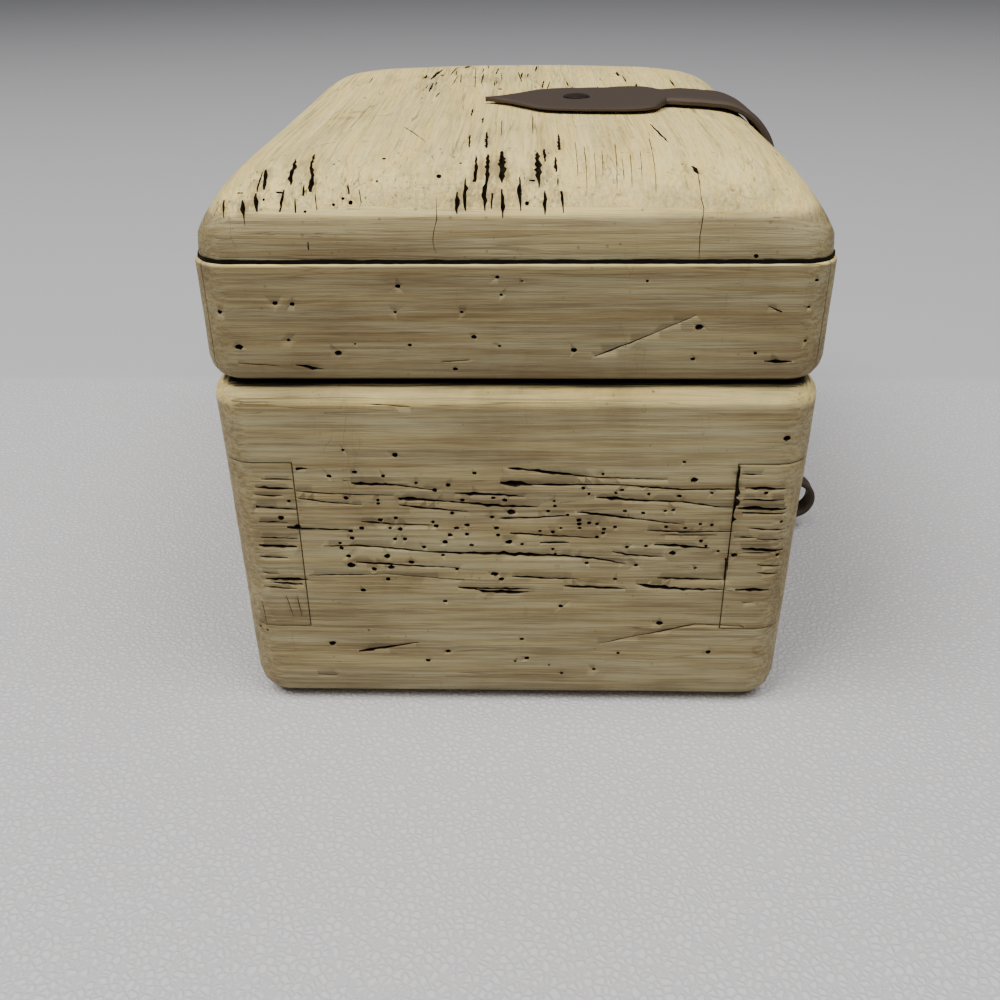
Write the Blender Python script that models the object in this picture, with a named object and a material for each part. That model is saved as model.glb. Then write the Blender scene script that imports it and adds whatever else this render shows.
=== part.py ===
"""Cigar box in thick painted wood, with a domed lid, a forged iron hasp and a cedar lining.

Metres, +Z up. The origin is the centre of the underside. X runs along the box, and the hasp is on
the front, which faces -Y. The lid turns on two butt hinges along the back.
"""

import math

import bmesh
import bpy
from mathutils import Vector

# Driving dimensions of the wooden case
BOX_LENGTH = 0.203
BOX_DEPTH = 0.152
BODY_HEIGHT = 0.0989
LID_FRAME_HEIGHT = 0.0302
DOME_RISE = 0.0193
BOARD_THICKNESS = 0.019
BOTTOM_THICKNESS = 0.009

# Clearances
JOINT_GAP = 0.0003
LID_GAP = 0.0005
OVERRUN = 0.004

# Worn roundings and the slight taper of the body
CORNER_RADIUS = 0.009
BODY_FOOT_RADIUS = 0.0085
BODY_RIM_RADIUS = 0.004
LID_RIM_RADIUS = 0.006
LID_LIP_RADIUS = 0.0006
FOOT_DRAW_IN = 0.0008
LIP_WIDTH = 0.0008

# Corner joint: one wide finger at each end of the front and back boards
FINGER_LOW = 0.027
FINGER_HIGH = 0.078

# Dome of the lid: powers of the curve along and across, and the power of its shoulder
DOME_POWER_ALONG = 10.3
DOME_POWER_ACROSS = 11.5
DOME_POWER_SHOULDER = 0.66
DOME_CELLS = 26

# Cedar lining
CEDAR_THICKNESS = 0.0032
CEDAR_FLOOR_THICKNESS = 0.003
CEDAR_RIM = 0.005
CEDAR_EDGE_BEVEL = 0.0006

# Butt hinges
HINGE_LENGTH = 0.038
HINGE_INSET = 0.0465
HINGE_PIN_OFFSET = 0.001
HINGE_BARREL_RADIUS = 0.003
HINGE_PIN_RADIUS = 0.0013
HINGE_TIP_RADIUS = 0.0022
HINGE_TIP_LENGTH = 0.0016
HINGE_LEAF_THICKNESS = 0.0012
HINGE_LEAF_REACH = 0.0125
HINGE_KNUCKLES = 5

# Wood screws of the hinges
SCREW_SPACING = 0.024
SCREW_HEAD_RADIUS = 0.0024
SCREW_HEAD_HEIGHT = 0.0011
SCREW_RADIUS = 0.0011
SCREW_LENGTH = 0.010
SCREW_POINT_LENGTH = 0.003
SCREW_SLOT_WIDTH = 0.0007
SCREW_SLOT_DEPTH = 0.0004

# Iron plate on the lid: a spade-shaped leaf that runs into a strap
LEAF_BACK = 0.0097
LEAF_LENGTH = 0.054
LEAF_WIDTH = 0.043
LEAF_TIP_WIDTH = 0.0012
LEAF_THICKNESS = 0.0014
LEAF_THIN_SHARE = 0.7
STRAP_WIDTH = 0.022
STRAP_THICKNESS = 0.0024
STRAP_BEND_RADIUS = 0.0185
STRAP_STAND_OFF = 0.0005
NECK_BLEND = 0.006
LEAF_LENGTH_SHARES = (0.0, 0.06, 0.14, 0.22, 0.31, 0.42, 0.56, 0.70, 0.80, 0.88, 0.94, 0.98, 1.0)
LEAF_WIDTH_SHARES = (0.0, 0.11, 0.28, 0.54, 0.80, 0.92, 0.97, 1.0, 1.0, 0.94, 0.78, 0.54, 0.43)

# Hinge of the hasp, on the front of the lid
HASP_PIN_RISE = 0.0136
HASP_BARREL_RADIUS = 0.0029
HASP_PIN_RADIUS = 0.0013
HASP_TIP_RADIUS = 0.0021
HASP_TIP_LENGTH = 0.0014
HASP_MIDDLE_KNUCKLE = 0.0084
HASP_SHOULDER_GAP = 0.0006

# Drop of the hasp: a slotted strap that flares outwards and ends in a scroll
DROP_STAND_OFF = 0.0012
STAPLE_TO_FLARE = 0.008
DROP_FLARE_RADIUS = 0.050
DROP_FLARE_ANGLE = math.radians(17.3)
TAIL_CLEARANCE = 0.005
SCROLL_RADIUS = 0.0064
SCROLL_TURN = math.radians(285)
TAIL_WIDTH = 0.007
TAIL_THICKNESS = 0.0018
SLOT_WIDTH = 0.008
SLOT_HEADROOM = 0.0025
STAPLE_TO_SLOT_FOOT = 0.034

# Staple on the body, through the slot of the hasp
STAPLE_BELOW_RIM = 0.0189
STAPLE_WIRE_RADIUS = 0.0015
STAPLE_HALF_SPAN = 0.005
STAPLE_STRAIGHT_REACH = 0.0066
STAPLE_LEG_DEPTH = 0.012

# Nails of the lid plate
NAIL_HEAD_RADIUS = 0.0026
NAIL_HEAD_HEIGHT = 0.0007
NAIL_RADIUS = 0.0010
NAIL_LENGTH = 0.011
NAIL_POINT_LENGTH = 0.003
LEAF_NAIL_SETBACK = 0.0276
LEAF_NAIL_OFFSET = -0.0012
LEAF_NAIL_HEAD_RADIUS = 0.0042
LEAF_NAIL_HEAD_HEIGHT = 0.0008
STRAP_NAIL_ABOVE_PIN = 0.0105
STRAP_NAIL_SPACING = 0.012

# Facets and tolerances
CORNER_SEGMENTS = 5
EDGE_SEGMENTS = 4
ROUND_SEGMENTS = 20
PIN_SEGMENTS = 16
CROWN_SEGMENTS = 30
BEND_SEGMENTS = 10
FLARE_SEGMENTS = 6
SCROLL_SEGMENTS = 22
STAPLE_SEGMENTS = 10
SMOOTH_ANGLE = math.radians(35)
WELD_DISTANCE = JOINT_GAP / 100
LEVEL_TOLERANCE = JOINT_GAP / 10

# Sizes that follow from the ones above
HALF_LENGTH = BOX_LENGTH / 2
HALF_DEPTH = BOX_DEPTH / 2
INNER_HALF_LENGTH = HALF_LENGTH - BOARD_THICKNESS
INNER_HALF_DEPTH = HALF_DEPTH - BOARD_THICKNESS
LID_BOTTOM = BODY_HEIGHT + LID_GAP
LID_SEAM = LID_BOTTOM + LID_FRAME_HEIGHT
SLAB_BOTTOM = LID_SEAM + JOINT_GAP
SLAB_HALF_LENGTH = HALF_LENGTH - LIP_WIDTH
SLAB_HALF_DEPTH = HALF_DEPTH - LIP_WIDTH
CEDAR_TOP = BODY_HEIGHT + CEDAR_RIM
HINGE_Y = HALF_DEPTH + HINGE_PIN_OFFSET
HINGE_Z = BODY_HEIGHT + LID_GAP / 2
HINGE_SPACING = BOX_LENGTH - 2 * HINGE_INSET
HASP_PIN_HEIGHT = LID_BOTTOM + HASP_PIN_RISE
HASP_PIN_Y = -HALF_DEPTH - JOINT_GAP - JOINT_GAP - HASP_BARREL_RADIUS
STRAP_FACE_Y = -HALF_DEPTH - STRAP_STAND_OFF
DROP_FACE_Y = -HALF_DEPTH - DROP_STAND_OFF
STRAP_NAIL_HEIGHT = HASP_PIN_HEIGHT + STRAP_NAIL_ABOVE_PIN
STAPLE_HEIGHT = BODY_HEIGHT - STAPLE_BELOW_RIM
SLOT_TOP = STAPLE_HEIGHT + STAPLE_HALF_SPAN + STAPLE_WIRE_RADIUS + SLOT_HEADROOM
SLOT_BOTTOM = STAPLE_HEIGHT - STAPLE_TO_SLOT_FOOT
DROP_FLARE_HEIGHT = STAPLE_HEIGHT - STAPLE_TO_FLARE


def clear_scene():
    """Remove every object that the opened file holds."""
    for old in list(bpy.data.objects):
        bpy.data.objects.remove(old, do_unlink=True)


def finish_material(name, colour, roughness, metallic):
    """Make a Principled material in one colour."""
    finish = bpy.data.materials.new(name)
    finish.use_nodes = True
    shader = finish.node_tree.nodes["Principled BSDF"]
    shader.inputs["Base Color"].default_value = (*colour, 1.0)
    shader.inputs["Roughness"].default_value = roughness
    shader.inputs["Metallic"].default_value = metallic
    finish.diffuse_color = (*colour, 1.0)
    return finish


def add_object(name, shape, finish, origin=Vector()):
    """Turn a bmesh into a named object whose origin lies at the given point."""
    bmesh.ops.recalc_face_normals(shape, faces=shape.faces[:])
    bmesh.ops.translate(shape, verts=shape.verts[:], vec=-Vector(origin))
    mesh = bpy.data.meshes.new(name)
    shape.to_mesh(mesh)
    shape.free()
    mesh.shade_smooth()
    mesh.set_sharp_from_angle(angle=SMOOTH_ANGLE)
    thing = bpy.data.objects.new(name, mesh)
    thing.location = origin
    if finish is not None:
        mesh.materials.append(finish)
    bpy.context.scene.collection.objects.link(thing)
    return thing


def add_cutter(name, shape):
    """Turn a bmesh into a hidden form that other pieces are cut with."""
    form = add_object(name, shape, None)
    form.hide_render = True
    form.display_type = "WIRE"
    return form


def cut(thing, form, operation):
    """Join, subtract or intersect a form with a piece, and leave the modifier live."""
    step = thing.modifiers.new(form.name, "BOOLEAN")
    step.operation = operation
    step.solver = "EXACT"
    step.object = form
    return thing


def prism(shape, outline, axis, low, high):
    """Extrude a closed outline along one axis, between two places on it."""
    others = [i for i in range(3) if i != axis]
    corners = []
    for u, v in outline:
        place = [low, low, low]
        place[others[0]] = u
        place[others[1]] = v
        corners.append(shape.verts.new(place))
    face = shape.faces.new(corners)
    grown = bmesh.ops.extrude_face_region(shape, geom=[face])
    moved = [g for g in grown["geom"] if isinstance(g, bmesh.types.BMVert)]
    shift = Vector()
    shift[axis] = high - low
    bmesh.ops.translate(shape, verts=moved, vec=shift)


def block(shape, low, high):
    """Add a plain box between two corners."""
    outline = ((low[0], low[1]), (high[0], low[1]), (high[0], high[1]), (low[0], high[1]))
    prism(shape, outline, 2, low[2], high[2])


def box_piece(name, low, high, finish, bevel=None):
    """A box with its edges eased by a bevel."""
    shape = bmesh.new()
    block(shape, low, high)
    thing = add_object(name, shape, finish)
    if bevel:
        ease = thing.modifiers.new("eased edges", "BEVEL")
        ease.width = bevel
        ease.segments = 1
    return thing


def edges_at(shape, height):
    """The edges that lie level at one height."""
    return [e for e in shape.edges if all(abs(v.co.z - height) < LEVEL_TOLERANCE for v in e.verts)]


def round_upright_edges(shape):
    """Round the four upright edges of a plain box."""
    upright = [e for e in shape.edges if abs(e.verts[0].co.z - e.verts[1].co.z) > LEVEL_TOLERANCE]
    bmesh.ops.bevel(
        shape, geom=upright, offset=CORNER_RADIUS, segments=CORNER_SEGMENTS, profile=0.5, affect="EDGES"
    )


def rounded_form(half_length, half_depth, low, high, low_radius, high_radius):
    """A box with round upright corners, and its lower and upper edges rounded over."""
    shape = bmesh.new()
    block(shape, (-half_length, -half_depth, low), (half_length, half_depth, high))
    round_upright_edges(shape)
    for height, radius in ((low, low_radius), (high, high_radius)):
        bmesh.ops.bevel(
            shape,
            geom=edges_at(shape, height),
            offset=radius,
            segments=EDGE_SEGMENTS,
            profile=0.5,
            affect="EDGES",
        )
    return shape


def turned(shape, profile, centre, axis, segments):
    """Spin a profile of (radius, place along the axis) points about an axis through centre."""
    axis = Vector(axis)
    side = axis.orthogonal().normalized()
    centre = Vector(centre)
    points = [shape.verts.new(centre + side * radius + axis * along) for radius, along in profile]
    line = [shape.edges.new(pair) for pair in zip(points, points[1:])]
    bmesh.ops.spin(
        shape,
        geom=points + line,
        cent=centre,
        axis=axis,
        angle=math.tau,
        steps=segments,
        use_merge=True,
    )
    bmesh.ops.remove_doubles(shape, verts=shape.verts[:], dist=WELD_DISTANCE)


def rod(shape, radius, start, length, axis, segments=PIN_SEGMENTS):
    """A plain round bar."""
    profile = ((0.0, 0.0), (radius, 0.0), (radius, length), (0.0, length))
    turned(shape, profile, start, axis, segments)


def dome_height(x, y):
    """Height of the lid's domed face over a point of the plan."""
    along = max(0.0, 1.0 - abs(x / SLAB_HALF_LENGTH) ** DOME_POWER_ALONG)
    across = max(0.0, 1.0 - abs(y / SLAB_HALF_DEPTH) ** DOME_POWER_ACROSS)
    return SLAB_BOTTOM + DOME_RISE * (along * across) ** DOME_POWER_SHOULDER


def arc(centre, radius, start, end, steps):
    """Points (y, z) on an arc, without its first point."""
    points = []
    for i in range(1, steps + 1):
        angle = start + (end - start) * i / steps
        points.append((centre[0] + radius * math.cos(angle), centre[1] + radius * math.sin(angle)))
    return points


def line_points(start, end, steps):
    """Points on a straight run, without its first point."""
    return [
        (start[0] + (end[0] - start[0]) * i / steps, start[1] + (end[1] - start[1]) * i / steps)
        for i in range(1, steps + 1)
    ]


def lengths_along(path):
    """Distance of each point of a path from its start."""
    total = [0.0]
    for a, b in zip(path, path[1:]):
        total.append(total[-1] + math.dist(a, b))
    return total


def interpolate(places, values, place):
    """Read a value from a table by straight interpolation."""
    if place <= places[0]:
        return values[0]
    for p0, p1, v0, v1 in zip(places, places[1:], values, values[1:]):
        if place <= p1:
            return v0 + (v1 - v0) * (place - p0) / (p1 - p0)
    return values[-1]


def ribbon(path, widths, thicknesses):
    """A flat bar that follows a path of (y, z) points on its inner face, with its own width at each."""
    count = len(path)
    shape = bmesh.new()
    block(shape, (-1.0, 0.0, 0.0), (1.0, float(count - 1), 1.0))
    for station in range(1, count - 1):
        bmesh.ops.bisect_plane(
            shape,
            geom=shape.verts[:] + shape.edges[:] + shape.faces[:],
            plane_co=(0.0, float(station), 0.0),
            plane_no=(0.0, 1.0, 0.0),
        )
    normals = []
    for i in range(count):
        before = path[max(0, i - 1)]
        after = path[min(count - 1, i + 1)]
        run = Vector((after[0] - before[0], after[1] - before[1])).normalized()
        normals.append((run.y, -run.x))
    for vert in shape.verts:
        i = round(vert.co.y)
        lift = thicknesses[i] * vert.co.z
        x = vert.co.x * widths[i] / 2
        vert.co = (x, path[i][0] + normals[i][0] * lift, path[i][1] + normals[i][1] * lift)
    return shape


def hinge_axis_point(x):
    """A point of the lid's turning axis."""
    return Vector((x, HINGE_Y, HINGE_Z))


def wall_outline(half_main, half_finger, low, high, finger_low, finger_high):
    """Outline of a board whose ends step out to a wide finger."""
    right = [
        (half_main, low),
        (half_main, finger_low),
        (half_finger, finger_low),
        (half_finger, finger_high),
        (half_main, finger_high),
        (half_main, high),
    ]
    left = [(-u, v) for u, v in reversed(right)]
    return right + left


def drawn_in(shape):
    """Narrow a body form slightly from the rim to the foot, across the depth."""
    for vert in shape.verts:
        share = 1.0 - vert.co.z / BODY_HEIGHT
        vert.co.y -= math.copysign(FOOT_DRAW_IN * share, vert.co.y)
    return shape


def case_boards(paint, raw_wood):
    """Front, back, end and bottom boards of the body."""
    form = add_cutter(
        "body_form",
        drawn_in(rounded_form(HALF_LENGTH, HALF_DEPTH, 0.0, BODY_HEIGHT, BODY_FOOT_RADIUS, BODY_RIM_RADIUS)),
    )
    boards = {}
    low = -OVERRUN
    high = BODY_HEIGHT + OVERRUN
    long_outline = wall_outline(
        INNER_HALF_LENGTH - JOINT_GAP, HALF_LENGTH + OVERRUN, low, high, FINGER_LOW, FINGER_HIGH
    )
    for name, side in (("front_board", -1), ("back_board", 1)):
        shape = bmesh.new()
        faces = sorted((side * INNER_HALF_DEPTH, side * (HALF_DEPTH + OVERRUN)))
        prism(shape, long_outline, 1, *faces)
        boards[name] = cut(add_object(name, shape, paint), form, "INTERSECT")
    end_outline = wall_outline(
        HALF_DEPTH + OVERRUN,
        INNER_HALF_DEPTH - JOINT_GAP,
        low,
        high,
        FINGER_LOW - JOINT_GAP,
        FINGER_HIGH + JOINT_GAP,
    )
    for name, side in (("left_end_board", -1), ("right_end_board", 1)):
        shape = bmesh.new()
        faces = sorted((side * INNER_HALF_LENGTH, side * (HALF_LENGTH + OVERRUN)))
        prism(shape, end_outline, 0, *faces)
        boards[name] = cut(add_object(name, shape, paint), form, "INTERSECT")
    boards["bottom_board"] = box_piece(
        "bottom_board",
        (-INNER_HALF_LENGTH + JOINT_GAP, -INNER_HALF_DEPTH + JOINT_GAP, 0.0),
        (INNER_HALF_LENGTH - JOINT_GAP, INNER_HALF_DEPTH - JOINT_GAP, BOTTOM_THICKNESS),
        raw_wood,
    )
    return boards


def lid_rails(paint):
    """Four mitred rails that make the lid's frame."""
    form = add_cutter(
        "lid_form",
        rounded_form(HALF_LENGTH, HALF_DEPTH, LID_BOTTOM, LID_SEAM, LID_RIM_RADIUS, LID_LIP_RADIUS),
    )
    mitre_gap = JOINT_GAP * math.sqrt(2) / 2
    outer = OVERRUN
    inner = -BOARD_THICKNESS
    rails = {}
    for name, side in (("lid_front_rail", -1), ("lid_back_rail", 1)):
        outline = [
            (-HALF_LENGTH - outer + mitre_gap, side * (HALF_DEPTH + outer)),
            (HALF_LENGTH + outer - mitre_gap, side * (HALF_DEPTH + outer)),
            (HALF_LENGTH + inner - mitre_gap, side * (HALF_DEPTH + inner)),
            (-HALF_LENGTH - inner + mitre_gap, side * (HALF_DEPTH + inner)),
        ]
        shape = bmesh.new()
        prism(shape, outline, 2, LID_BOTTOM - OVERRUN, LID_SEAM + OVERRUN)
        rails[name] = cut(add_object(name, shape, paint), form, "INTERSECT")
    for name, side in (("lid_left_rail", -1), ("lid_right_rail", 1)):
        outline = [
            (side * (HALF_LENGTH + outer), -HALF_DEPTH - outer + mitre_gap),
            (side * (HALF_LENGTH + outer), HALF_DEPTH + outer - mitre_gap),
            (side * (HALF_LENGTH + inner), HALF_DEPTH + inner - mitre_gap),
            (side * (HALF_LENGTH + inner), -HALF_DEPTH - inner + mitre_gap),
        ]
        shape = bmesh.new()
        prism(shape, outline, 2, LID_BOTTOM - OVERRUN, LID_SEAM + OVERRUN)
        rails[name] = cut(add_object(name, shape, paint), form, "INTERSECT")
    return rails


def lid_slab(paint):
    """The thick domed top: a grid pressed into the dome's shape, with round corners in plan."""
    shape = bmesh.new()
    bmesh.ops.create_grid(shape, x_segments=DOME_CELLS, y_segments=DOME_CELLS, size=1.0)
    grown = bmesh.ops.extrude_face_region(shape, geom=shape.faces[:])
    upper = {g for g in grown["geom"] if isinstance(g, bmesh.types.BMVert)}
    for vert in shape.verts:
        x = SLAB_HALF_LENGTH * math.sin(vert.co.x * math.pi / 2)
        y = SLAB_HALF_DEPTH * math.sin(vert.co.y * math.pi / 2)
        vert.co = (x, y, dome_height(x, y) + JOINT_GAP if vert in upper else SLAB_BOTTOM)
    slab = add_object("lid_slab", shape, paint)
    plan = bmesh.new()
    block(
        plan,
        (-SLAB_HALF_LENGTH - JOINT_GAP, -SLAB_HALF_DEPTH - JOINT_GAP, SLAB_BOTTOM - OVERRUN),
        (SLAB_HALF_LENGTH + JOINT_GAP, SLAB_HALF_DEPTH + JOINT_GAP, SLAB_BOTTOM + DOME_RISE + OVERRUN),
    )
    round_upright_edges(plan)
    return cut(slab, add_cutter("slab_plan", plan), "INTERSECT")


def cedar_lining(cedar):
    """Cedar floor and walls of the body, which stand above its rim to locate the lid."""
    x_wall = INNER_HALF_LENGTH - JOINT_GAP
    y_wall = INNER_HALF_DEPTH - JOINT_GAP
    floor_low = BOTTOM_THICKNESS + JOINT_GAP
    floor_high = floor_low + CEDAR_FLOOR_THICKNESS
    wall_low = floor_high + JOINT_GAP
    box_piece(
        "cedar_floor", (-x_wall, -y_wall, floor_low), (x_wall, y_wall, floor_high), cedar, CEDAR_EDGE_BEVEL
    )
    cedar_walls("cedar", wall_low, CEDAR_TOP, cedar)


def cedar_walls(prefix, low, high, cedar):
    """Four lining boards between two heights: front and back full length, ends between them."""
    x_wall = INNER_HALF_LENGTH - JOINT_GAP
    y_wall = INNER_HALF_DEPTH - JOINT_GAP
    y_face = y_wall - CEDAR_THICKNESS
    x_face = x_wall - CEDAR_THICKNESS
    for name, side in ((prefix + "_front", -1), (prefix + "_back", 1)):
        y_low, y_high = sorted((side * y_face, side * y_wall))
        box_piece(name, (-x_wall, y_low, low), (x_wall, y_high, high), cedar, CEDAR_EDGE_BEVEL)
    y_end = y_face - JOINT_GAP
    for name, side in ((prefix + "_left", -1), (prefix + "_right", 1)):
        x_low, x_high = sorted((side * x_face, side * x_wall))
        box_piece(name, (x_low, -y_end, low), (x_high, y_end, high), cedar, CEDAR_EDGE_BEVEL)


def lid_lining(cedar):
    """Cedar ceiling under the slab, and strips that stop just above the body's lining."""
    x_wall = INNER_HALF_LENGTH - JOINT_GAP
    y_wall = INNER_HALF_DEPTH - JOINT_GAP
    ceiling_high = LID_SEAM
    ceiling_low = ceiling_high - CEDAR_FLOOR_THICKNESS
    box_piece(
        "lid_cedar_ceiling",
        (-x_wall, -y_wall, ceiling_low),
        (x_wall, y_wall, ceiling_high),
        cedar,
        CEDAR_EDGE_BEVEL,
    )
    cedar_walls("lid_cedar", CEDAR_TOP + LID_GAP, ceiling_low - JOINT_GAP, cedar)


def knuckle_spans(centre_x, length, count):
    """Start and end of each knuckle of a hinge along X, with a gap between neighbours."""
    pitch = length / count
    start = centre_x - length / 2
    spans = []
    for i in range(count):
        low = start + pitch * i + (JOINT_GAP / 2 if i else 0.0)
        high = start + pitch * (i + 1) - (JOINT_GAP / 2 if i < count - 1 else 0.0)
        spans.append((low, high))
    return spans


def butt_leaf(name, centre_x, upper, brass):
    """One leaf of a butt hinge: a plate let into the wood, with its knuckles and their bore."""
    side = 1 if upper else -1
    face = HINGE_Z + side * LID_GAP / 2
    back = face + side * HINGE_LEAF_THICKNESS
    plate_low, plate_high = sorted((face, back))
    knuckle_y = HINGE_Y - HINGE_BARREL_RADIUS - JOINT_GAP
    spans = knuckle_spans(centre_x, HINGE_LENGTH, HINGE_KNUCKLES)
    half = HINGE_LENGTH / 2
    plate = bmesh.new()
    block(
        plate,
        (centre_x - half, HINGE_Y - HINGE_LEAF_REACH, plate_low),
        (centre_x + half, knuckle_y, plate_high),
    )
    leaf = add_object(name, plate, brass, hinge_axis_point(centre_x))
    first = 1 if upper else 0
    for number, (x_low, x_high) in enumerate(spans[first::2]):
        tab = bmesh.new()
        block(tab, (x_low, knuckle_y - JOINT_GAP, plate_low), (x_high, HINGE_Y, plate_high))
        cut(leaf, add_cutter(f"{name}_tab_{number}", tab), "UNION")
        tube = bmesh.new()
        rod(
            tube,
            HINGE_BARREL_RADIUS,
            (x_low, HINGE_Y, HINGE_Z),
            x_high - x_low,
            (1, 0, 0),
            ROUND_SEGMENTS,
        )
        cut(leaf, add_cutter(f"{name}_knuckle_{number}", tube), "UNION")
    bore = bmesh.new()
    rod(
        bore,
        HINGE_PIN_RADIUS + JOINT_GAP,
        (centre_x - half - OVERRUN, HINGE_Y, HINGE_Z),
        HINGE_LENGTH + 2 * OVERRUN,
        (1, 0, 0),
    )
    cut(leaf, add_cutter(name + "_bore", bore), "DIFFERENCE")
    return leaf


def butt_pin(name, centre_x, steel):
    """Hinge pin with a small ball-shaped tip at each end."""
    half = HINGE_LENGTH / 2 + JOINT_GAP
    tip = half + HINGE_TIP_LENGTH
    chamfer = HINGE_TIP_LENGTH / 3
    shape = bmesh.new()
    profile = (
        (0.0, -tip),
        (HINGE_TIP_RADIUS - chamfer, -tip),
        (HINGE_TIP_RADIUS, -tip + chamfer),
        (HINGE_TIP_RADIUS, -half - chamfer),
        (HINGE_TIP_RADIUS - chamfer, -half),
        (HINGE_PIN_RADIUS, -half),
        (HINGE_PIN_RADIUS, half),
        (HINGE_TIP_RADIUS - chamfer, half),
        (HINGE_TIP_RADIUS, half + chamfer),
        (HINGE_TIP_RADIUS, tip - chamfer),
        (HINGE_TIP_RADIUS - chamfer, tip),
        (0.0, tip),
    )
    turned(shape, profile, hinge_axis_point(centre_x), (1, 0, 0), PIN_SEGMENTS)
    return add_object(name, shape, steel, hinge_axis_point(centre_x))


def screw_profile(clearance):
    """Countersunk screw from its head's face down to its point, grown by a clearance."""
    head = SCREW_HEAD_RADIUS + clearance
    shank = SCREW_RADIUS + clearance
    start = -clearance
    end = SCREW_LENGTH + clearance
    return (
        (0.0, start),
        (head, start),
        (shank, SCREW_HEAD_HEIGHT + clearance),
        (shank, SCREW_LENGTH - SCREW_POINT_LENGTH),
        (0.0, end),
    )


def hinge_screws(upper, steel):
    """The four screws that hold both hinges' leaves on one side, and the form of their holes."""
    side = 1 if upper else -1
    word = "lid" if upper else "body"
    face = HINGE_Z + side * LID_GAP / 2
    y = HINGE_Y - (HINGE_LEAF_REACH + HINGE_BARREL_RADIUS) / 2 - JOINT_GAP
    holes = bmesh.new()
    for hand, centre_x in (("left", -HINGE_SPACING / 2), ("right", HINGE_SPACING / 2)):
        for number, offset in enumerate((-SCREW_SPACING / 2, SCREW_SPACING / 2), start=1):
            place = (centre_x + offset, y, face)
            name = f"{hand}_hinge_{word}_screw_{number}"
            shape = bmesh.new()
            turned(shape, screw_profile(0.0), place, (0, 0, side), PIN_SEGMENTS)
            screw = add_object(name, shape, steel, place)
            slot = bmesh.new()
            z_low, z_high = sorted((face - side * OVERRUN, face + side * SCREW_SLOT_DEPTH))
            half = SCREW_SLOT_WIDTH / 2
            reach = SCREW_HEAD_RADIUS + OVERRUN
            block(slot, (place[0] - reach, y - half, z_low), (place[0] + reach, y + half, z_high))
            cut(screw, add_cutter(name + "_slot", slot), "DIFFERENCE")
            turned(holes, screw_profile(JOINT_GAP), place, (0, 0, side), PIN_SEGMENTS)
    return add_cutter(f"{word}_screw_holes", holes)


def hinge_recesses(upper):
    """What a hinge takes out of the board behind it: leaf mortises and barrel hollows."""
    side = 1 if upper else -1
    face = HINGE_Z + side * LID_GAP / 2
    shape = bmesh.new()
    half = HINGE_LENGTH / 2 + JOINT_GAP
    y_low = HINGE_Y - HINGE_LEAF_REACH - JOINT_GAP
    depth = HINGE_LEAF_THICKNESS + JOINT_GAP
    z_low, z_high = sorted((face - side * OVERRUN, face + side * depth))
    for centre_x in (-HINGE_SPACING / 2, HINGE_SPACING / 2):
        block(
            shape,
            (centre_x - half, y_low, z_low),
            (centre_x + half, HINGE_Y + OVERRUN, z_high),
        )
    mortises = add_cutter("upper_mortises" if upper else "lower_mortises", shape)
    shape = bmesh.new()
    reach = half + HINGE_TIP_LENGTH + JOINT_GAP
    for centre_x in (-HINGE_SPACING / 2, HINGE_SPACING / 2):
        rod(
            shape,
            HINGE_BARREL_RADIUS + 2 * JOINT_GAP,
            (centre_x - reach, HINGE_Y, HINGE_Z),
            2 * reach,
            (1, 0, 0),
            ROUND_SEGMENTS,
        )
    hollows = add_cutter("upper_hollows" if upper else "lower_hollows", shape)
    return mortises, hollows


def butt_hinges(boards, rails, brass, steel):
    """Two butt hinges, let into the back board and the lid's back rail."""
    for upper, word, board in ((False, "lower", boards["back_board"]), (True, "upper", rails["lid_back_rail"])):
        mortises, hollows = hinge_recesses(upper)
        cut(board, mortises, "DIFFERENCE")
        cut(board, hollows, "DIFFERENCE")
        holes = hinge_screws(upper, steel)
        cut(board, holes, "DIFFERENCE")
        for hand, centre_x in (("left", -HINGE_SPACING / 2), ("right", HINGE_SPACING / 2)):
            leaf = butt_leaf(f"{hand}_hinge_{word}_leaf", centre_x, upper, brass)
            cut(leaf, holes, "DIFFERENCE")
    for hand, centre_x in (("left", -HINGE_SPACING / 2), ("right", HINGE_SPACING / 2)):
        butt_pin(f"{hand}_hinge_pin", centre_x, steel)


def lid_strap_path():
    """Inner face of the lid plate from its tip, over the dome and down the front to the hasp's hinge."""
    bend_y = STRAP_FACE_Y + STRAP_BEND_RADIUS
    path = []
    for i in range(CROWN_SEGMENTS + 1):
        y = LEAF_BACK + (bend_y - LEAF_BACK) * i / CROWN_SEGMENTS
        path.append((y, dome_height(0.0, y) + 2 * JOINT_GAP))
    bend_z = path[-1][1] - STRAP_BEND_RADIUS
    path += arc((bend_y, bend_z), STRAP_BEND_RADIUS, math.pi / 2, math.pi, BEND_SEGMENTS)
    end_z = HASP_PIN_HEIGHT + HASP_BARREL_RADIUS + HASP_SHOULDER_GAP
    path += line_points(path[-1], (STRAP_FACE_Y, end_z), 3)
    return path


def leaf_width(distance):
    """Width of the lid plate at a distance from its tip."""
    share = distance / LEAF_LENGTH
    if share < 1.0:
        width = LEAF_WIDTH * interpolate(LEAF_LENGTH_SHARES, LEAF_WIDTH_SHARES, share)
        return max(LEAF_TIP_WIDTH, width)
    neck = LEAF_WIDTH * LEAF_WIDTH_SHARES[-1]
    return interpolate((LEAF_LENGTH, LEAF_LENGTH + NECK_BLEND), (neck, STRAP_WIDTH), distance)


def plate_thickness(distance):
    """Thickness of the lid plate at a distance from its tip: beaten thin in the leaf, full in the strap."""
    blend = (LEAF_LENGTH * LEAF_THIN_SHARE, LEAF_LENGTH + NECK_BLEND)
    return interpolate(blend, (LEAF_THICKNESS, STRAP_THICKNESS), distance)


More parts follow.
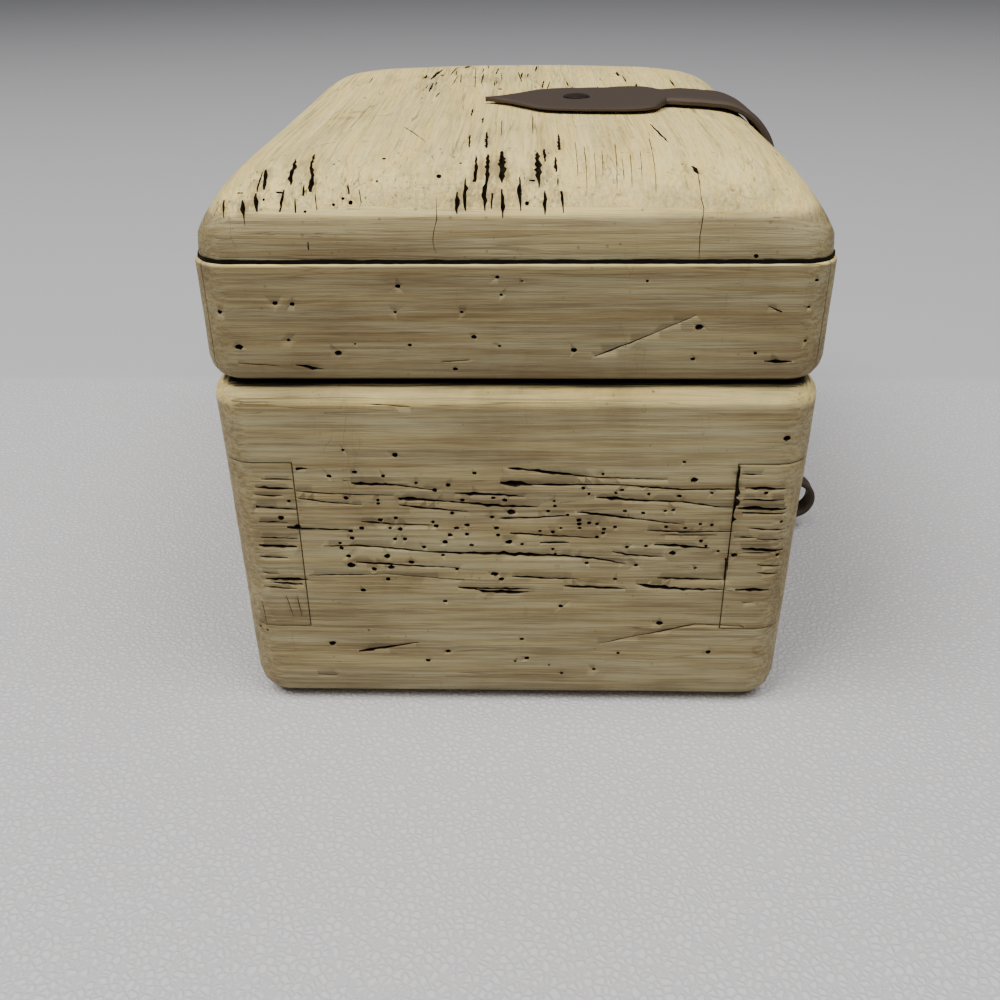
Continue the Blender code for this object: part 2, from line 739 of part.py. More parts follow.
def hasp_plate(iron):
    """Leaf-shaped plate on the lid that becomes a strap and ends in two knuckles."""
    path = lid_strap_path()
    lengths = lengths_along(path)
    widths = [leaf_width(s) for s in lengths]
    thicknesses = [plate_thickness(s) for s in lengths]
    plate = add_object("hasp_plate", ribbon(path, widths, thicknesses), iron)
    half = STRAP_WIDTH / 2
    middle = HASP_MIDDLE_KNUCKLE / 2 + JOINT_GAP
    for number, (x_low, x_high) in enumerate(((-half, -middle), (middle, half))):
        tab = bmesh.new()
        block(
            tab,
            (x_low, STRAP_FACE_Y - STRAP_THICKNESS, HASP_PIN_HEIGHT),
            (x_high, STRAP_FACE_Y, path[-1][1] + JOINT_GAP),
        )
        cut(plate, add_cutter(f"hasp_plate_tab_{number}", tab), "UNION")
        tube = bmesh.new()
        rod(
            tube,
            HASP_BARREL_RADIUS,
            (x_low, HASP_PIN_Y, HASP_PIN_HEIGHT),
            x_high - x_low,
            (1, 0, 0),
            ROUND_SEGMENTS,
        )
        cut(plate, add_cutter(f"hasp_plate_knuckle_{number}", tube), "UNION")
    cut(plate, hasp_bore("hasp_plate_bore"), "DIFFERENCE")
    return plate


def hasp_bore(name):
    """The hole for the hasp's pin, through all knuckles."""
    bore = bmesh.new()
    rod(
        bore,
        HASP_PIN_RADIUS + JOINT_GAP,
        (-STRAP_WIDTH / 2 - OVERRUN, HASP_PIN_Y, HASP_PIN_HEIGHT),
        STRAP_WIDTH + 2 * OVERRUN,
        (1, 0, 0),
    )
    return add_cutter(name, bore)


def hasp_pin(steel):
    """Pin of the hasp's hinge, with a riveted tip at each end."""
    half = STRAP_WIDTH / 2 + JOINT_GAP
    tip = half + HASP_TIP_LENGTH
    chamfer = HASP_TIP_LENGTH / 3
    profile = (
        (0.0, -tip),
        (HASP_TIP_RADIUS - chamfer, -tip),
        (HASP_TIP_RADIUS, -tip + chamfer),
        (HASP_TIP_RADIUS, -half),
        (HASP_PIN_RADIUS, -half),
        (HASP_PIN_RADIUS, half),
        (HASP_TIP_RADIUS, half),
        (HASP_TIP_RADIUS, tip - chamfer),
        (HASP_TIP_RADIUS - chamfer, tip),
        (0.0, tip),
    )
    shape = bmesh.new()
    axis_point = (0.0, HASP_PIN_Y, HASP_PIN_HEIGHT)
    turned(shape, profile, axis_point, (1, 0, 0), PIN_SEGMENTS)
    return add_object("hasp_pin", shape, steel, axis_point)


def drop_path():
    """Inner face of the hasp's drop: upright, flared outwards, then rolled into a scroll."""
    top = (DROP_FACE_Y, HASP_PIN_HEIGHT - HASP_BARREL_RADIUS - HASP_SHOULDER_GAP)
    path = [top]
    path += line_points(top, (DROP_FACE_Y, DROP_FLARE_HEIGHT), 4)
    centre = (DROP_FACE_Y - DROP_FLARE_RADIUS, DROP_FLARE_HEIGHT)
    path += arc(centre, DROP_FLARE_RADIUS, 0.0, -DROP_FLARE_ANGLE, FLARE_SEGMENTS)
    slope = Vector((-math.sin(DROP_FLARE_ANGLE), -math.cos(DROP_FLARE_ANGLE)))
    outward = Vector((-math.cos(DROP_FLARE_ANGLE), math.sin(DROP_FLARE_ANGLE)))
    radius = SCROLL_RADIUS + STRAP_THICKNESS / 2
    start = Vector(path[-1])
    fall = start.y + outward.y * radius - TAIL_CLEARANCE - radius
    end = start + slope * (fall / math.cos(DROP_FLARE_ANGLE))
    path += line_points(start, end, 8)
    middle = end + outward * radius
    path += arc(middle, radius, -DROP_FLARE_ANGLE, -DROP_FLARE_ANGLE - SCROLL_TURN, SCROLL_SEGMENTS)
    return path


def drop_sections(path):
    """Width and thickness of the drop at each point: full strap to the slot's end, then a taper."""
    lengths = lengths_along(path)
    taper_start = HASP_PIN_HEIGHT - SLOT_BOTTOM
    taper_end = lengths[-1] - SCROLL_RADIUS * SCROLL_TURN
    widths = [interpolate((taper_start, taper_end), (STRAP_WIDTH, TAIL_WIDTH), s) for s in lengths]
    thicknesses = [
        interpolate((taper_end, lengths[-1]), (STRAP_THICKNESS, TAIL_THICKNESS), s) for s in lengths
    ]
    return widths, thicknesses


def hasp_drop(iron):
    """The swinging part of the hasp, one forging with its middle knuckle, slot and scrolled tail."""
    path = drop_path()
    widths, thicknesses = drop_sections(path)
    pin = Vector((0.0, HASP_PIN_Y, HASP_PIN_HEIGHT))
    drop = add_object("hasp_drop", ribbon(path, widths, thicknesses), iron, pin)
    half = HASP_MIDDLE_KNUCKLE / 2
    tab = bmesh.new()
    block(
        tab,
        (-half, DROP_FACE_Y - STRAP_THICKNESS, path[0][1] - JOINT_GAP),
        (half, DROP_FACE_Y, HASP_PIN_HEIGHT),
    )
    cut(drop, add_cutter("hasp_drop_tab", tab), "UNION")
    tube = bmesh.new()
    rod(
        tube,
        HASP_BARREL_RADIUS,
        (-half, HASP_PIN_Y, HASP_PIN_HEIGHT),
        HASP_MIDDLE_KNUCKLE,
        (1, 0, 0),
        ROUND_SEGMENTS,
    )
    cut(drop, add_cutter("hasp_drop_knuckle", tube), "UNION")
    cut(drop, hasp_bore("hasp_drop_bore"), "DIFFERENCE")
    slot = bmesh.new()
    round_end = SLOT_WIDTH / 2
    outline = [(-round_end, SLOT_BOTTOM + round_end)]
    outline += arc((0.0, SLOT_BOTTOM + round_end), round_end, math.pi, math.tau, EDGE_SEGMENTS)
    outline += [(round_end, SLOT_TOP - round_end)]
    outline += arc((0.0, SLOT_TOP - round_end), round_end, 0.0, math.pi, EDGE_SEGMENTS)
    prism(slot, outline, 1, DROP_FACE_Y - DROP_FLARE_RADIUS, DROP_FACE_Y + OVERRUN)
    cut(drop, add_cutter("hasp_slot", slot), "DIFFERENCE")
    return drop


def hasp_staple(front_board, iron):
    """A loop of iron wire whose legs are driven into the front board."""
    inside = -HALF_DEPTH + STAPLE_LEG_DEPTH
    outside = -HALF_DEPTH - STAPLE_STRAIGHT_REACH
    path = [(inside, STAPLE_HEIGHT + STAPLE_HALF_SPAN)]
    path += line_points(path[0], (outside, STAPLE_HEIGHT + STAPLE_HALF_SPAN), 3)
    path += arc((outside, STAPLE_HEIGHT), STAPLE_HALF_SPAN, math.pi / 2, 3 * math.pi / 2, STAPLE_SEGMENTS)
    path += line_points(path[-1], (inside, STAPLE_HEIGHT - STAPLE_HALF_SPAN), 3)
    wire = bpy.data.curves.new("hasp_staple", "CURVE")
    wire.dimensions = "3D"
    wire.bevel_depth = STAPLE_WIRE_RADIUS
    wire.bevel_resolution = 2
    wire.use_fill_caps = True
    run = wire.splines.new("POLY")
    run.points.add(len(path) - 1)
    for point, (y, z) in zip(run.points, path):
        point.co = (0.0, y, z, 1.0)
    wire.materials.append(iron)
    staple = bpy.data.objects.new("hasp_staple", wire)
    bpy.context.scene.collection.objects.link(staple)
    holes = bmesh.new()
    for side in (-1, 1):
        rod(
            holes,
            STAPLE_WIRE_RADIUS + JOINT_GAP,
            (0.0, inside + JOINT_GAP, STAPLE_HEIGHT + side * STAPLE_HALF_SPAN),
            STAPLE_LEG_DEPTH + OVERRUN,
            (0, -1, 0),
        )
    cut(front_board, add_cutter("staple_holes", holes), "DIFFERENCE")
    return staple


def nail_profile(head_radius, head_height):
    """Flat-headed nail from its head's face down to its point."""
    return (
        (0.0, 0.0),
        (head_radius - head_height / 2, 0.0),
        (head_radius, head_height / 2),
        (head_radius, head_height),
        (NAIL_RADIUS, head_height),
        (NAIL_RADIUS, NAIL_LENGTH - NAIL_POINT_LENGTH),
        (0.0, NAIL_LENGTH),
    )


def plate_nails(plate, slab, front_rail, iron):
    """Nails of the lid plate: a wide one through the leaf, two through the strap on the lid's front."""
    leaf_y = LEAF_BACK - LEAF_NAIL_SETBACK
    leaf_top = dome_height(LEAF_NAIL_OFFSET, leaf_y) + 2 * JOINT_GAP + LEAF_THICKNESS
    strap_front = STRAP_FACE_Y - STRAP_THICKNESS
    wide = (LEAF_NAIL_HEAD_RADIUS, LEAF_NAIL_HEAD_HEIGHT)
    small = (NAIL_HEAD_RADIUS, NAIL_HEAD_HEIGHT)
    half = STRAP_NAIL_SPACING / 2
    nails = (
        ("leaf_nail", (LEAF_NAIL_OFFSET, leaf_y, leaf_top), (0, 0, -1), wide),
        ("strap_nail_1", (-half, strap_front, STRAP_NAIL_HEIGHT), (0, 1, 0), small),
        ("strap_nail_2", (half, strap_front, STRAP_NAIL_HEIGHT), (0, 1, 0), small),
    )
    holes = bmesh.new()
    for name, seat, axis, (head_radius, head_height) in nails:
        head = Vector(seat) - Vector(axis) * (head_height + JOINT_GAP)
        shape = bmesh.new()
        turned(shape, nail_profile(head_radius, head_height), head, axis, ROUND_SEGMENTS)
        add_object(name, shape, iron, head)
        start = Vector(seat) - Vector(axis) * OVERRUN
        rod(holes, NAIL_RADIUS + JOINT_GAP, start, NAIL_LENGTH + OVERRUN, axis)
    form = add_cutter("nail_holes", holes)
    for thing in (plate, slab, front_rail):
        cut(thing, form, "DIFFERENCE")


def main():
    clear_scene()
    paint = finish_material("painted_wood", (0.62, 0.54, 0.38), 0.62, 0.0)
    dark_wood = finish_material("bare_wood", (0.36, 0.24, 0.14), 0.75, 0.0)
    cedar = finish_material("cedar", (0.47, 0.25, 0.13), 0.7, 0.0)
    iron = finish_material("forged_iron", (0.09, 0.065, 0.05), 0.6, 0.9)
    brass = finish_material("aged_brass", (0.36, 0.25, 0.10), 0.45, 1.0)
    steel = finish_material("dull_steel", (0.30, 0.28, 0.26), 0.45, 1.0)
    boards = case_boards(paint, dark_wood)
    cedar_lining(cedar)
    rails = lid_rails(paint)
    slab = lid_slab(paint)
    lid_lining(cedar)
    butt_hinges(boards, rails, brass, steel)
    plate = hasp_plate(iron)
    hasp_pin(steel)
    hasp_drop(iron)
    hasp_staple(boards["front_board"], iron)
    plate_nails(plate, slab, rails["lid_front_rail"], iron)


main()
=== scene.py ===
"""Looks of the cigar box: worn cream paint over thick wood, a forged iron hasp, brass hinges and cedar inside.

Everything is in metres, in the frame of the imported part. The hasp is on the front, which faces -Y.
"""

import math
import random

import bmesh
import bpy
from bpy.props import FloatProperty, FloatVectorProperty, IntProperty, PointerProperty
from mathutils import Matrix, Vector, noise
from mathutils.bvhtree import BVHTree
from mathutils.kdtree import KDTree


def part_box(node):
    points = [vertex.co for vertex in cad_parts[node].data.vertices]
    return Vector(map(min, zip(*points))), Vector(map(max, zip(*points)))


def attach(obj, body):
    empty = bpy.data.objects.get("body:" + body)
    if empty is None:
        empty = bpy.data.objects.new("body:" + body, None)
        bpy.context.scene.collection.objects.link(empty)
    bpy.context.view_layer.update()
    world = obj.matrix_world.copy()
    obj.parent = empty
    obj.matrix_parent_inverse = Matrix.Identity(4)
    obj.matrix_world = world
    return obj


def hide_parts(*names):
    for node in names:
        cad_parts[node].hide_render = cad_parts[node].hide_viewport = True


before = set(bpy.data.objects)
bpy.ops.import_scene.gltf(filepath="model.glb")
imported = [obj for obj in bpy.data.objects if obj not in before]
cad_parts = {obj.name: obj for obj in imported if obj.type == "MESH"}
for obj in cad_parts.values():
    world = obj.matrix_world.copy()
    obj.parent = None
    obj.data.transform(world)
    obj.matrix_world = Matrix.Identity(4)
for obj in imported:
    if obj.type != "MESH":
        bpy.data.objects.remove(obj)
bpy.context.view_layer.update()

bl_info = {
    "name": "Painted cigar box",
    "version": (1, 0, 0),
    "blender": (4, 5, 0),
    "location": "3D View > Sidebar > Cigar Box",
    "description": "Dresses the cigar box with worn paint, forged iron, brass and cedar",
    "category": "Object",
}

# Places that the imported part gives
BODY_LOW, BODY_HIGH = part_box("left_end_board")[0].z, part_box("left_end_board")[1].z
HALF_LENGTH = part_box("right_end_board")[1].x
HALF_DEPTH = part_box("back_board")[1].y
LID_LOW, LID_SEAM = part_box("lid_front_rail")[0].z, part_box("lid_front_rail")[1].z
SLAB_LOW, SLAB_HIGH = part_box("lid_slab")[0].z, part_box("lid_slab")[1].z
SLAB_HALF_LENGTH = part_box("lid_slab")[1].x
SLAB_HALF_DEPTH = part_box("lid_slab")[1].y
HASP_PIN = sum((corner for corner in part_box("hasp_pin")), Vector()) / 2
STAPLE_HEIGHT = (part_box("hasp_staple")[0].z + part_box("hasp_staple")[1].z) / 2
LEAF_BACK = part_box("hasp_plate")[1].y
STRAP_WIDTH = 2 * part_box("hasp_drop")[1].x
LEAF_HALF_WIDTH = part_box("hasp_plate")[1].x

MM = 0.001
IMAGE_SIZE = 1000
IMAGE_MIDDLE = IMAGE_SIZE / 2
SENSOR_WIDTH = 36.0
STAIN_MAP = "stain"
WARM_TINT = (1.0, 0.9, 0.7)

BODY_BOARDS = ("left_end_board", "right_end_board", "front_board", "back_board")
LID_RAILS = ("lid_left_rail", "lid_right_rail", "lid_front_rail", "lid_back_rail")
CEDAR_NODES = (
    "cedar_floor",
    "cedar_front",
    "cedar_back",
    "cedar_left",
    "cedar_right",
    "lid_cedar_ceiling",
    "lid_cedar_front",
    "lid_cedar_back",
    "lid_cedar_left",
    "lid_cedar_right",
)

# Gouges on the left end board, as chains of (column, row, width) in pixels of the reference view
END_GOUGES_PX = (
    ((351, 483, 1.4), (362, 484, 2.6), (385, 484.6, 2.4), (398, 485, 1.0), (436, 490.6, 0.8)),
    ((296, 491, 1.2), (326, 493.5, 0.9), (393, 495.5, 0.6)),
    ((398, 498, 3.6), (407, 498.6, 3.0), (444, 501, 1.2), (472, 503.4, 1.4), (490, 505, 2.6), (504, 506, 2.6), (538, 507, 0.8)),
    ((297, 498, 1.2), (326, 502, 1.0), (363, 505, 0.8)),
    ((399, 505, 1.4), (426, 508, 1.6), (469, 512, 0.8)),
    ((297, 510, 1.2), (351, 510, 1.2), (393, 514.5, 0.9), (442, 518.6, 1.0), (455, 519.8, 2.0), (480, 521.4, 2.0), (522, 526.7, 0.7)),
    ((361, 521.6, 2.0), (391, 524, 1.4), (432, 525, 0.9)),
    ((287, 527, 3.0), (300, 528.2, 1.6), (351, 530, 1.0)),
    ((323, 546, 1.0), (363, 545.5, 1.4), (430, 551.6, 1.0), (461, 552.7, 1.8), (504, 553, 2.4), (538, 556, 0.8)),
    ((356, 562, 2.0), (383, 563.5, 2.2), (405, 565, 1.4), (461, 568, 0.7)),
    ((309, 575, 1.0), (389, 574, 0.7), (465, 580, 0.5)),
    ((458, 587, 2.0), (470, 588, 1.6), (506, 588.6, 1.6), (530, 588.6, 0.7)),
    ((474, 589, 1.4), (488, 591.6, 2.6), (505, 591.8, 2.6), (530, 592, 0.8)),
    ((500, 482.5, 3.8), (516, 483.6, 4.0), (532, 484.8, 3.6)),
    ((508, 468, 2.2), (530, 470, 2.0), (553, 472.6, 2.2), (597, 477.5, 1.0), (668, 479.4, 0.6)),
    ((532, 484.6, 1.8), (618, 484.6, 1.2), (681, 489.5, 1.6), (738, 489, 0.8)),
    ((455, 493, 1.6), (470, 493.6, 2.4), (504, 495, 1.6), (524, 496.5, 0.8)),
    ((596, 497, 2.4), (614, 498.4, 2.6), (630, 499.8, 1.6), (681, 501.5, 1.2), (719, 507, 1.2), (736, 507, 0.8)),
    ((577, 512, 1.4), (597, 514, 2.0), (630, 518, 1.4), (685, 524.6, 0.8)),
    ((500, 518, 1.8), (532, 517.5, 1.4), (569, 515.4, 0.7)),
    ((510, 533, 1.6), (542, 535, 1.4), (595, 538, 0.7)),
    ((540, 542.5, 1.8), (553, 542.5, 2.0), (569, 542.5, 1.0)),
    ((647, 530.5, 1.2), (685, 532, 1.4), (734, 531.6, 0.8)),
    ((660, 535, 0.9), (717, 535, 0.7)),
    ((654, 544.6, 1.6), (683, 546, 2.6), (710, 548, 1.0)),
    ((500, 553.7, 2.2), (530, 554.4, 2.4), (557, 555.4, 1.6), (595, 558, 1.8), (626, 564, 0.7)),
    ((612, 551.6, 1.6), (628, 554.7, 1.6), (664, 556.8, 0.8)),
    ((512, 576, 1.6), (542, 578, 1.6), (580, 579, 0.7)),
    ((657, 578, 1.6), (683, 578.5, 1.4), (727, 579.6, 1.2)),
    ((564, 585.7, 1.6), (588, 587, 2.6), (606, 587.8, 2.4), (626, 588.4, 0.8)),
    ((637, 584, 1.4), (650, 586, 3.2), (668, 588, 3.0), (689, 589, 1.8), (726, 589.5, 1.2)),
    ((500, 591.6, 3.0), (512, 591.8, 2.6), (527, 592, 1.0)),
    ((359, 651, 2.4), (380, 647.6, 2.0), (420, 642, 0.6)),
    ((292, 468.6, 2.2), (300, 468.6, 2.4), (307, 468.6, 1.6)),
    ((647, 634, 0.8), (696, 624, 0.8), (769, 625, 0.5)),
    ((601, 643, 0.7), (697, 623, 0.6)),
    ((318, 674, 0.9), (338, 674.6, 0.7)),
    ((366, 404, 0.9), (392, 405.4, 0.7), (410, 407, 0.9)),
)

# Short cuts across the two wide fingers and along their seams
FINGER_GOUGES_PX = (
    ((261, 479, 1.4), (276, 479, 1.2), (292, 479.4, 0.9)),
    ((255, 487, 1.4), (270, 488, 2.2), (293, 488.6, 1.2)),
    ((254, 494, 1.2), (268, 495.6, 1.4), (283, 496, 0.9)),
    ((256, 506, 3.6), (262, 507.4, 1.8), (280, 508.4, 1.2), (298, 509.4, 1.0)),
    ((259, 521.6, 1.4), (288, 522.4, 1.0)),
    ((261, 537, 1.4), (298, 538.6, 1.0)),
    ((259, 545, 2.6), (276, 546.2, 2.8), (297, 546.6, 2.0)),
    ((260, 556, 1.4), (288, 557.6, 1.0)),
    ((263, 572, 1.2), (279, 573.4, 0.9)),
    ((266, 578.2, 1.8), (288, 578.8, 2.4), (308, 579.4, 1.8)),
    ((274, 582.2, 1.6), (306, 582.6, 1.4)),
    ((264, 586, 1.2), (297, 588.6, 1.0)),
    ((742, 474, 1.6), (763, 474.4, 0.9)),
    ((745, 488, 1.8), (765, 488.2, 2.2), (786, 488.6, 1.0)),
    ((743, 499.4, 1.6), (784, 499.8, 1.2)),
    ((738, 508, 2.2), (760, 508.4, 2.8), (786, 508.4, 1.4)),
    ((742, 512.6, 1.6), (785, 512.8, 1.2)),
    ((748, 528, 1.4), (785, 528.4, 1.0)),
    ((734, 537, 1.4), (757, 537.4, 1.0)),
    ((757, 539, 1.4), (783, 538.4, 1.0)),
    ((742, 549, 2.2), (762, 549.4, 2.8), (783, 549.2, 1.6)),
    ((742, 552.4, 1.2), (770, 552.6, 1.0)),
    ((757, 564.6, 1.4), (780, 565, 1.0)),
    ((757, 572.6, 1.2), (778, 572.8, 0.9)),
    ((735, 589.5, 2.2), (750, 589.7, 2.6), (769, 589.9, 1.4)),
    ((741, 602, 1.0), (753, 602.2, 0.9)),
    ((739.5, 466, 2.2), (738, 478, 3.0), (735, 500, 2.8), (732.5, 519, 3.4), (729.5, 539, 2.8), (726, 566, 2.6), (724, 581, 1.4)),
    ((286, 595, 0.5), (294, 617, 0.5)),
    ((297, 595, 0.5), (302, 616, 0.5)),
    ((262, 600, 0.6), (268, 626, 0.5)),
)

# Worm holes of the left end board, as (column, row, width) in pixels
END_HOLES_PX = (
    (395, 455, 5.4), (343, 450, 3), (355, 472, 4), (329, 476, 4), (383, 476, 3.6), (385, 484, 3), (416, 483, 3.6),
    (448, 485, 4.4), (435, 490, 4), (475, 473, 3.4), (346, 498, 4.4), (378, 500, 3.2), (378, 503.4, 3.2), (401, 499, 3),
    (462, 500, 4), (505, 500, 4), (493, 498, 3.4), (289, 501, 3.6), (452, 513, 4), (511, 512, 6.4), (492, 517, 3.6),
    (396, 518, 4), (380, 520, 4), (433, 522, 3.4), (436, 526, 4.4), (456, 528, 3.8), (467, 525, 4), (496, 528, 4),
    (400, 529, 4.2), (390, 528, 3), (362, 528, 4.6), (351, 531, 4), (352, 538, 4.4), (395, 539, 4), (405, 539, 4),
    (450, 535, 4.2), (467, 534, 4), (498, 535, 4), (509, 542, 5), (471, 545, 3.4), (445, 542, 4.6), (424, 547, 3.6),
    (340, 543, 3.4), (342, 548, 4), (348, 556, 4), (387, 556, 5.4), (443, 555, 3), (412, 562, 4.4), (351, 565, 6),
    (374, 569, 4.6), (391, 567, 5), (457, 569, 3.4), (388, 579, 4), (363, 590, 4.4), (495, 574, 5.4), (501, 579, 4),
    (445, 601, 3.4), (369, 630, 1.8), (333, 643, 5.4), (261, 626, 2.6), (268, 630, 2.6), (603, 474, 3), (684, 462, 3),
    (694, 480, 5.6), (583, 488, 3.6), (616, 493, 3.2), (622, 490, 3.4), (589, 494, 3), (649, 494, 3.4), (680, 496, 3.6),
    (712, 493, 3), (548, 511, 3.4), (554, 501, 3), (555, 506, 3.2), (568, 515, 3.4), (625, 511, 3.6), (643, 513, 3.4),
    (665, 511, 3), (673, 510, 3.2), (579, 520, 4.4), (579, 524, 4), (589, 523, 3.6), (597, 524, 3.4), (580, 528, 3),
    (604, 529, 3.6), (615, 527, 3.8), (561, 528, 3), (553, 532, 3.6), (540, 531, 3.4), (541, 535, 3), (603, 533, 3.4),
    (597, 537, 3.6), (627, 547, 3.4), (666, 527, 3.4), (685, 528, 3.2), (700, 524, 3), (712, 525, 3.4), (701, 541, 3.8),
    (706, 546, 3.4), (646, 546, 3.2), (673, 553, 5.2), (718, 551, 3), (553, 549, 3.2), (555, 554, 3), (587, 563, 3.6),
    (636, 565, 3.4), (695, 568, 3), (615, 579, 3.4), (561, 606, 3.6), (660, 623, 5), (522, 639, 3.6), (448, 651, 4),
    (618, 653, 3), (527, 658, 4), (594, 669, 3), (562, 673, 3), (708, 652, 4.4), (428, 660, 3.6), (515, 661, 2.6),
    (549, 665, 1.8), (787, 438, 6), (281, 517.5, 5), (297.6, 526.7, 5.4), (781, 521.7, 4), (777, 554.7, 4),
    (766, 493, 4), (734, 555, 4.6), (522, 544, 3.2),
)

# Brown smudges, as (column, row, radius, strength)
END_SMUDGES_PX = ((275, 530, 30, 0.35), (762, 530, 30, 0.35), (300, 612, 14, 0.6), (440, 545, 40, 0.25), (600, 520, 40, 0.25))
RAIL_SMUDGES_PX = ((240, 345, 22, 0.4), (300, 366, 18, 0.6), (779, 361, 20, 0.6), (700, 330, 20, 0.4), (380, 290, 24, 0.3))
DOME_SMUDGES_PX = (
    (345, 118, 16, 0.8), (355, 112, 10, 0.7), (262, 180, 16, 0.45), (222, 210, 8, 0.6), (243, 205, 8, 0.5), (283, 200, 8, 0.4),
    (313, 172, 8, 0.5), (505, 165, 25, 0.35), (540, 175, 14, 0.6), (488, 165, 8, 0.5), (560, 142, 8, 0.4),
)

# Holes and cuts of the lid frame's left rail
RAIL_HOLES_PX = (
    (398, 286, 4.4), (275, 303, 5), (292, 304, 4.4), (220, 312, 4.4), (395, 312, 3), (462, 312, 3), (289, 340, 3),
    (239, 347, 5.6), (338, 353, 5.4), (410, 345, 3), (474, 337, 4.6), (497, 277, 3.6), (501, 295, 2.6), (647, 281, 2.6),
    (522, 281, 2), (699, 327, 6), (574, 350, 5), (693, 359, 3.4), (755, 353, 3), (817, 280, 3), (808, 307, 2.6),
    (805, 341, 3), (455, 369, 4), (500, 346, 2.4), (355, 344, 1.8),
)
RAIL_GOUGES_PX = (
    ((595, 356, 1.2), (640, 339, 0.7), (697, 315, 0.5)),
    ((296, 365, 1.4), (312, 367.6, 3.2), (324, 369, 1.0)),
    ((764, 361, 1.6), (779, 362, 3.4), (792, 361.4, 1.2)),
    ((440, 362, 0.9), (470, 360, 0.7)),
    ((238, 363, 0.9), (280, 366, 0.7)),
    ((768, 306, 1.0), (782, 312, 1.6)),
)

# Cuts of the domed top, most of them across its grain
DOME_GOUGES_PX = (
    ((296, 159, 1.4), (294, 167, 3.4), (291, 178, 3.6), (291, 185, 2.0)),
    ((315, 154, 1.2), (311, 166, 2.4), (313, 178, 3.2), (310, 192, 3.4)),
    ((315, 194, 1.4), (317, 210, 1.0)),
    ((304, 185, 1.2), (303, 196, 2.2)),
    ((295, 198, 1.4), (295.6, 213, 2.2)),
    ((276, 192, 2.2), (283, 193, 2.8)),
    ((284, 190, 2.8), (282, 200, 1.6), (280, 212, 2.6)),
    ((266, 169, 1.4), (265, 178, 3.2), (264, 190, 2.0)),
    ((263, 172, 1.2), (257, 192, 2.0)),
    ((256, 193, 3.0), (256, 203, 4.6), (257, 212, 2.6)),
    ((237, 193, 1.6), (243, 193, 2.4)),
    ((242, 200, 2.4), (243, 208, 3.8), (244, 216, 1.6), (245, 226, 0.8)),
    ((224, 200, 2.6), (224, 218, 1.6)),
    ((219, 205, 1.0), (214, 216, 0.8)),
    ((271, 160.6, 2.2), (275, 159.6, 1.4)),
    ((348, 184, 1.0), (349, 194, 2.2)),
    ((359, 189, 1.0), (361.4, 203, 1.4)),
    ((457, 192, 2.2), (456.6, 203, 3.6), (457, 214, 1.8)),
    ((465.4, 178, 0.8), (465.4, 188, 3.0), (465, 200, 4.0), (465.4, 211, 2.0)),
    ((476, 155, 1.2), (476, 170, 2.6), (474.6, 182, 4.6)),
    ((470, 135, 1.6), (469, 148, 1.0)),
    ((473, 109, 1.6), (471, 116, 1.0)),
    ((488, 154, 2.2), (487.6, 170, 3.4), (487, 182, 2.4), (484.4, 192, 3.6), (484.8, 211, 1.4)),
    ((487, 132, 1.4), (486.4, 148, 2.6)),
    ((483, 118, 1.6), (482.6, 123, 1.0)),
    ((492, 193, 2.6), (491.6, 209, 1.6)),
    ((502, 151, 2.6), (502.4, 163, 5.2), (502, 175, 5.0), (502, 183, 2.4)),
    ((502, 189, 2.0), (502.4, 203, 3.8), (502.8, 218, 1.4)),
    ((519.6, 177, 1.2), (520, 194, 3.2), (520.6, 211, 1.6)),
    ((537, 152, 2.4), (538, 168, 4.8), (539, 181, 2.6), (539, 188, 1.2)),
    ((529, 180, 2.0), (535, 181, 5.4)),
    ((544, 149, 2.8), (545, 162, 1.4)),
    ((548, 152.6, 2.2), (550, 153.6, 1.0)),
    ((555.2, 157, 2.2), (556.4, 172, 2.2)),
    ((558.4, 134, 1.0), (559.4, 150, 2.8)),
    ((558, 178, 1.6), (558, 186, 1.0)),
    ((545, 190, 1.0), (545, 202, 3.0), (545, 215, 1.2)),
    ((561.2, 191, 3.8), (562, 198, 2.4), (563.8, 213, 1.6)),
    ((508, 148.4, 2.4), (512, 148.2, 1.6)),
    ((502, 120, 0.7), (501, 136, 0.6)),
    ((532, 116, 0.6), (533, 134, 0.6)),
    ((518, 72, 0.9), (522, 82, 0.8)),
    ((476, 68, 0.6), (475, 88, 0.6)),
    ((584, 146, 0.6), (587, 194, 0.5)),
    ((615, 144, 0.6), (617, 190, 0.5)),
    ((649, 138, 0.6), (656, 194, 0.5)),
    ((622, 158, 0.6), (624, 180, 0.5)),
    ((630, 154, 0.7), (632, 188, 0.5)),
    ((640, 150, 0.5), (642, 180, 0.5)),
    ((602, 150, 0.5), (603, 176, 0.5)),
    ((594, 152, 0.5), (596, 184, 0.5)),
    ((575, 142, 0.5), (578, 176, 0.5)),
    ((650, 124, 1.4), (659, 133, 1.8), (668, 142, 1.0)),
    ((630, 137, 1.4), (635, 137.4, 1.0)),
    ((692, 166, 2.6), (695, 169, 5.0), (698, 174, 2.0)),
    ((698, 174, 0.7), (701, 198, 0.6), (704, 208, 0.7), (700, 236, 0.7), (699, 260, 0.6)),
    ((436, 198, 0.6), (437, 218, 0.6), (433, 234, 0.6), (433, 246, 0.5), (437, 254, 0.5)),
    ((308, 242, 1.4), (308.6, 250, 1.2)),
    ((404, 127, 1.2), (414, 133, 1.0), (426, 142, 0.7)),
    ((376, 116, 0.7), (384, 115.6, 1.0), (394, 114, 0.8)),
    ((320, 145, 0.9), (336, 142, 0.8)),
)
